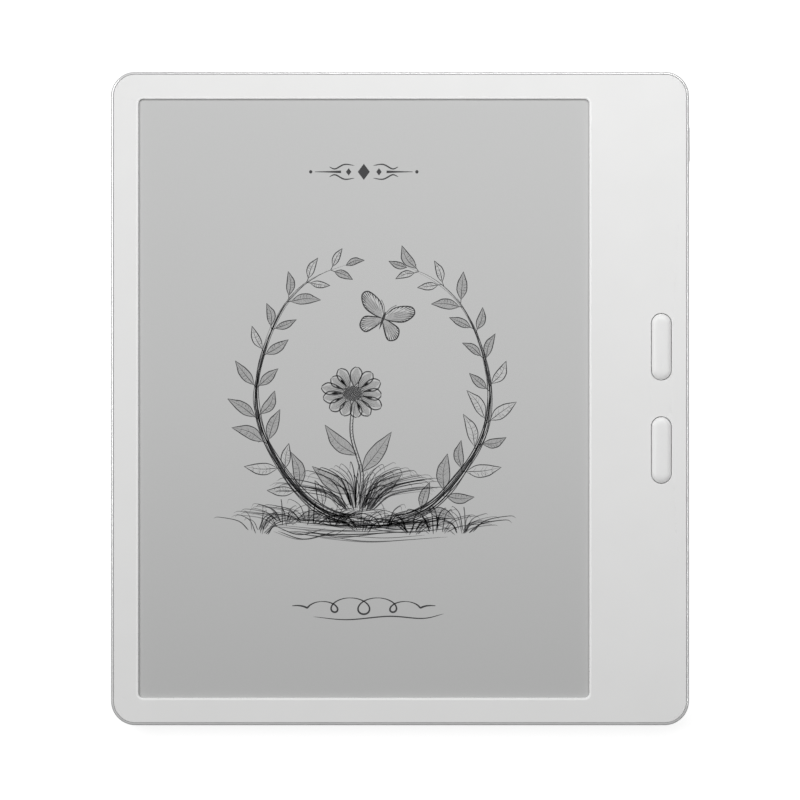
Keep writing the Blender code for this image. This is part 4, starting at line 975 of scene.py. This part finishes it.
def leaf(base, way, length, width, tone=True):
    """Draws a pointed leaf: its wash, two edges, midrib, veins and some shading on one side."""
    base = Vector(base)
    way = Vector(way).normalized()
    side = Vector((-way.y, way.x))
    bend = RNG.uniform(-0.12, 0.12) * length
    spine = [base, base + way * length * 0.5 + side * bend, base + way * length]
    ribs = smooth(spine, 5)

    def rib(share):
        return ribs[round(share * (len(ribs) - 1))]

    if tone:
        stroke(WASH, ribs, width * 0.92, blade)
    for sign in (-1, 1):
        edge = []
        for share in (0.0, 0.3, 0.6, 0.85, 1.0):
            edge.append(rib(share) + side * sign * width / 2 * blade(share))
        sketch(edge, 0.24, 1, 0.05)
    stroke(DARK, ribs, 0.18, tail)
    veins = 4
    for index in range(veins):
        share = 0.2 + 0.6 * index / veins + RNG.uniform(-0.03, 0.03)
        start = rib(share)
        reach = width * 0.42 * blade(share)
        for sign in (-1, 1):
            end = start + side * sign * reach + way * reach * 0.9
            vein = smooth([start, (start + end) / 2 + way * 0.1, end], 2)
            stroke(SOFT, vein, 0.09, tail)
    shaded = RNG.choice((-1, 1))
    for index in range(5):
        share = 0.15 + 0.13 * index + RNG.uniform(-0.02, 0.02)
        start = rib(share)
        reach = width * 0.46 * blade(share)
        end = start + side * shaded * reach + way * reach * 0.35
        stroke(DARK, [start.lerp(end, 0.3), start.lerp(end, 0.7), end], 0.15, tail)


def branch(centre, radii, start, end, leaves):
    """Draws a leafy branch along an arc, thick at its foot and fine at its tip."""

    def on_arc(share, out=0.0):
        """Returns a place on the gently waving arc, or a little outside it."""
        angle = start + (end - start) * share
        wave = 1 + 0.012 * math.sin(share * 17)
        x = (radii.x + out) * wave * math.cos(angle)
        y = (radii.y + out) * wave * math.sin(angle)
        return centre + Vector((x, y))

    for strand in range(-4, 5):
        first = RNG.uniform(-0.05, 0.05)
        last = 1 - RNG.uniform(0.0, 0.4) * (strand != 0)
        knots = []
        for step in range(13):
            knots.append(on_arc(first + (last - first) * step / 12, strand * 0.3 * (1 - 0.9 * step / 12)))
        width = 0.28 if strand else 0.46
        stroke(DARK, smooth(shaken(knots, 0.14), 4), width, tail)
    for index in range(leaves):
        share = 0.1 + 0.86 * index / (leaves - 1)
        base = on_arc(share)
        forward = (on_arc(share + 0.02) - base).normalized()
        outward = (base - centre).normalized()
        size = 1.0 - 0.3 * share
        for sign in (-1, 1):
            lean = outward * sign * RNG.uniform(0.65, 0.95) + forward * RNG.uniform(0.75, 1.0)
            foot = base + forward * RNG.uniform(-0.8, 0.8)
            length = RNG.uniform(6.4, 9.4) * size
            width = length * RNG.uniform(0.3, 0.36)
            way = lean.normalized()
            leaf(foot + way * 0.9, lean, length, width, RNG.random() < 0.75)
            stroke(DARK, smooth([foot, foot + way], 2), 0.16, even)
    tip = on_arc(1.0)
    leaf(tip, tip - on_arc(0.97), 4.6, 1.5)


def daisy(centre, radius):
    """Draws an open flower seen a little from the side: petals, their folds and a stippled eye."""
    squash = 0.82
    petals = 13
    for index in range(petals):
        angle = 2 * math.pi * index / petals + RNG.uniform(-0.06, 0.06)
        length = radius * RNG.uniform(0.9, 1.06)
        way = Vector((math.cos(angle), math.sin(angle) * squash))
        side = Vector((-way.y, way.x)).normalized()
        foot = centre + way * radius * 0.27
        end = centre + way * length
        width = radius * 0.36
        stroke(WASH, smooth([foot, foot.lerp(end, 0.5), end], 4), width * 0.8, blade)
        for sign in (-1, 1):
            shape = ((0.0, 0.0), (0.35, 0.4), (0.75, 0.5), (0.97, 0.2), (1.0, 0.0))
            edge = [foot.lerp(end, along) + side * sign * width * out for along, out in shape]
            sketch(edge, 0.27, 2, 0.07)
        for fold in range(4):
            offset = side * (fold - 1.5) * width * 0.17
            near = foot + offset * 0.6
            far = foot.lerp(end, RNG.uniform(0.45, 0.8)) + offset
            stroke(DARK, smooth([near, near.lerp(far, 0.5), far], 2), 0.13, tail)
    dots = 150
    golden_turn = 2.399963
    for index in range(dots):
        angle = index * golden_turn
        reach = radius * 0.3 * math.sqrt((index + 0.5) / dots)
        spot = centre + Vector((reach * math.cos(angle), reach * math.sin(angle) * squash))
        dash = turned(Vector((0.16, 0.0)), angle)
        stroke(DARK, [spot - dash, spot, spot + dash], 0.26, even)


def butterfly(centre, size, tilt):
    """Draws a small butterfly with open wings, mirrored about its body."""
    upper = ((0.0, 0.1), (0.35, 0.62), (0.95, 0.86), (1.18, 0.62), (0.92, 0.2), (0.45, 0.02), (0.0, 0.0))
    lower = ((0.0, 0.0), (0.4, -0.06), (0.78, -0.22), (0.82, -0.62), (0.5, -0.78), (0.18, -0.42), (0.0, -0.1))

    def place(x, y):
        return centre + turned(Vector((x, y)) * size, tilt)

    for sign in (-1, 1):
        for wing in (upper, lower):
            knots = [place(x * sign, y) for x, y in wing]
            sketch(knots, 0.32, 2, 0.06)
            root = place(0.05 * sign, 0.0)
            rim = smooth(knots, 4)[3:-3]
            for point in rim[::2]:
                start = root.lerp(point, RNG.uniform(0.3, 0.45))
                stroke(SOFT, smooth([start, start.lerp(point, 0.5), point], 2), 0.12, even)
            for point in rim:
                start = point.lerp(root, RNG.uniform(0.16, 0.26))
                stroke(DARK, [point, point.lerp(start, 0.5), start], 0.32, tail)
            end = rim[len(rim) // 2]
            stroke(WASH, smooth([root, root.lerp(end, 0.55), end], 4), size * 0.42, blade)
        feeler = [place(x * sign, y) for x, y in ((0.02, 0.22), (0.14, 0.5), (0.34, 0.72))]
        stroke(DARK, smooth(feeler, 4), 0.12, even)
    body = [place(0.0, y) for y in (0.3, 0.0, -0.5)]
    stroke(DARK, smooth(body, 4), size * 0.12, blade)


def grasses(foot, count, reach, height):
    """Draws blades of grass that fan out from a foot and bend over at their tips."""
    for _ in range(count):
        lean = RNG.uniform(-1.0, 1.0)
        start = foot + Vector((lean * reach * 0.22 + RNG.gauss(0, 0.6), RNG.uniform(-0.8, 0.8)))
        tall = height * RNG.uniform(0.45, 1.0) * (1 - 0.45 * abs(lean))
        end = start + Vector((lean * reach, tall))
        bend = start.lerp(end, 0.5) + Vector((-lean * reach * 0.16, tall * 0.2))
        droop = end + Vector((lean * reach * 0.18, -tall * RNG.uniform(0.0, 0.25)))
        layer = DARK if RNG.random() < 0.55 else SOFT
        width = RNG.uniform(0.18, 0.38)
        stroke(layer, smooth([start, bend, end, droop], 5), width, tail)


def ground(centre, half_width, count):
    """Draws the loose strokes of the ground, longest in the middle."""
    for index in range(count):
        drop = RNG.uniform(-3.4, 1.4)
        reach = half_width * RNG.uniform(0.25, 1.0) * (1 - 0.09 * abs(drop))
        offset = RNG.uniform(-1, 1) * (half_width - reach)
        sag = RNG.uniform(0.6, 2.2)
        start = centre + Vector((offset - reach, drop + sag))
        end = centre + Vector((offset + reach * RNG.uniform(0.6, 1.0), drop + sag * RNG.uniform(0.4, 1.4)))
        low = start.lerp(end, RNG.uniform(0.4, 0.6)) - Vector((0.0, sag))
        layer = DARK if index % 3 else SOFT
        stroke(layer, smooth([start, low, end], 10), RNG.uniform(0.14, 0.3))


def draw_picture():
    """A flower among grasses, with a butterfly over it, inside a wreath of two branches."""
    centre = Vector((2.2, 1.8))
    radii = Vector((27.5, 31.0))
    down = -math.pi / 2
    branch(centre, radii, down - 0.16, down - math.pi + 0.24, 11)
    branch(centre, radii, down + 0.16, down + math.pi - 0.3, 11)
    foot = Vector((-1.6, -26.0))
    head = Vector((-2.6, 1.2))
    lower = Vector((-0.4, -18.0))
    upper = Vector((-2.8, -9.0))
    for offset in (-0.32, 0.3):
        across = Vector((offset, 0.0))
        knots = [foot + across * 1.6, lower + across, upper + across, head + across - Vector((0.0, 3.0))]
        sketch(knots, 0.26, 2, 0.08)
    stem = smooth([foot, lower, upper, head], 26)
    for index in range(26):
        x = stem[index * 3].x
        y = -24.5 + index * 0.82
        dash = [Vector((x + 0.3, y)), Vector((x, y - 0.25)), Vector((x - 0.1, y - 0.5))]
        stroke(DARK, dash, 0.13, tail)
    leaf((-0.6, -17.5), (0.75, 1.0), 12.0, 3.4)
    leaf((-1.6, -13.5), (-0.95, 0.9), 10.5, 3.2)
    leaf((-1.0, -23.5), (1.0, 0.55), 11.5, 3.4)
    leaf((-1.6, -22.5), (-1.0, 0.6), 12.5, 3.6)
    daisy(head, 7.4)
    butterfly(Vector((4.6, 19.0)), 5.6, -0.35)
    grasses(foot, 64, 15.0, 13.0)
    for index in range(9):
        place = Vector((-25.0 + 6.0 * index, -30.5 + RNG.uniform(-1.2, 1.2)))
        grasses(place, 16, 9.5, 6.5)
    ground(Vector((0.0, -30.6)), 24.0, 30)


def draw_ornament():
    """A printer's ornament: a diamond between two tapering rules that end in dots."""
    y = 53.8
    for size, offset in ((1.9, 0.0), (0.85, 3.6), (0.85, -3.6)):
        points = [Vector((offset, y + size)), Vector((offset, y)), Vector((offset, y - size))]
        stroke(DARK, points, size * 1.5, lambda t: 1 - abs(2 * t - 1))
    for sign in (-1, 1):
        rule = [Vector((sign * x, y)) for x in (5.4, 8.0, 11.6)]
        stroke(DARK, smooth(rule, 4), 0.62, lambda t: 1 - 0.8 * t)
        for lift in (-1, 1):
            knots = ((2.2, 1.5), (4.6, 1.75), (6.8, 0.7), (8.2, 1.2))
            curl = [Vector((sign * x, y + lift * h)) for x, h in knots]
            stroke(DARK, smooth(curl, 6), 0.34)
        dot = Vector((sign * 12.6, y))
        radius = 0.42
        chord = [dot + Vector((radius * share, 0.0)) for share in (-1, -0.5, 0, 0.5, 1)]
        stroke(DARK, chord, 2 * radius, lambda t: math.sqrt(max(0.0, 1 - (2 * t - 1) ** 2)))


def draw_flourish():
    """A flourish below the picture: a chain of loops that dies away to both sides."""
    y = -49.2
    loops = 5
    steps = 180
    points = []
    for index in range(steps + 1):
        t = index / steps
        x = -17.0 + 34.0 * t
        swell = math.sin(math.pi * t) ** 1.3
        angle = t * 2 * math.pi * loops
        points.append(Vector((x + 2.9 * swell * math.sin(angle), y + 2.0 * swell * math.cos(angle))))
    stroke(DARK, points, 0.44, lambda t: 0.35 + 0.65 * abs(math.sin(loops * math.pi * t)))
    knots = ((-12.0, 0.2), (-4.0, -0.5), (6.0, 0.3), (14.0, -0.2), (19.0, 0.9))
    under = [Vector((x, y - 2.8 + h)) for x, h in knots]
    stroke(DARK, smooth(under, 10), 0.3)


def make_page():
    """Puts the drawing on the screen as three layers of ink."""
    draw_picture()
    draw_ornament()
    draw_flourish()
    new_piece("page_ink_wash", SHEETS[WASH], "housing", "epaper_ink", materials=(WASH_INK,))
    new_piece("page_ink_soft", SHEETS[SOFT], "housing", "epaper_ink", materials=(SOFT_INK,))
    new_piece("page_ink_dark", SHEETS[DARK], "housing", "epaper_ink")


# ---- CAD nodes that stay


def finish_frame_nodes():
    """Gives each CAD node that is shown the finish of its slot in the record."""
    for entry in frame["record"]["subparts"]:
        node = frame["nodes"][entry["node"]]
        material = FINISHES[entry["material_slot"]]
        if node.material_slots:
            for slot in node.material_slots:
                slot.material = material
        else:
            node.data.materials.append(material)


# ---- studio


def make_camera():
    """A long lens that looks straight down on the face, as in the photo."""
    data = bpy.data.cameras.new("camera")
    data.lens = LENS
    data.sensor_width = SENSOR
    camera = show(bpy.data.objects.new("camera", data))
    camera.location = (0.0, -VIEW_LIFT, FACE_Z + VIEW_WIDTH * LENS / SENSOR)
    bpy.context.scene.camera = camera


def make_light(name, place, size, power):
    """Adds a softbox that faces the middle of the object and that the camera doesn't see."""
    data = bpy.data.lights.new(name, "AREA")
    data.shape = "RECTANGLE"
    data.size, data.size_y = size
    data.energy = power
    light = show(bpy.data.objects.new(name, data))
    light.location = place
    light.rotation_euler = (-Vector(place)).to_track_quat("-Z", "Y").to_euler()
    light.visible_camera = False


def make_world():
    """A dim, even white surround."""
    world = bpy.data.worlds.new("studio")
    world.use_nodes = True
    background = world.node_tree.nodes["Background"]
    set_inputs(background, Color=(1.0, 1.0, 1.0, 1.0), Strength=WORLD_STRENGTH)
    bpy.context.scene.world = world


def make_floor():
    """A plain white floor that gives a little light of its own, as a lit table does."""
    bm = bmesh.new()
    bmesh.ops.create_grid(bm, x_segments=1, y_segments=1, size=FLOOR_HALF)
    mesh = bpy.data.meshes.new("floor")
    bm.to_mesh(mesh)
    bm.free()
    floor = show(bpy.data.objects.new("floor", mesh))
    floor.location.z = -FLOOR_DROP
    material, shader = new_material("floor_white", FLOOR_COLOUR, 0.8)
    set_inputs(shader, Emission_Color=(1.0, 1.0, 1.0, 1.0), Emission_Strength=FLOOR_GLOW)
    mesh.materials.append(material)


def make_studio():
    """Soft light from the upper left and a little from the right, on a plain white floor."""
    make_camera()
    make_world()
    make_floor()
    make_light("key_softbox", *KEY_SOFTBOX)
    make_light("top_softbox", *TOP_SOFTBOX)
    make_light("right_strip", *RIGHT_STRIP)
    bpy.context.scene.view_settings.view_transform = "Standard"


finish_frame_nodes()
make_rear_housing()
make_front_plate()
make_page_key("page_button_upper")
make_page_key("page_button_lower")
make_power_key()
make_card_drawer()
make_usb_port()
make_speaker_mesh()
make_page()
make_studio()
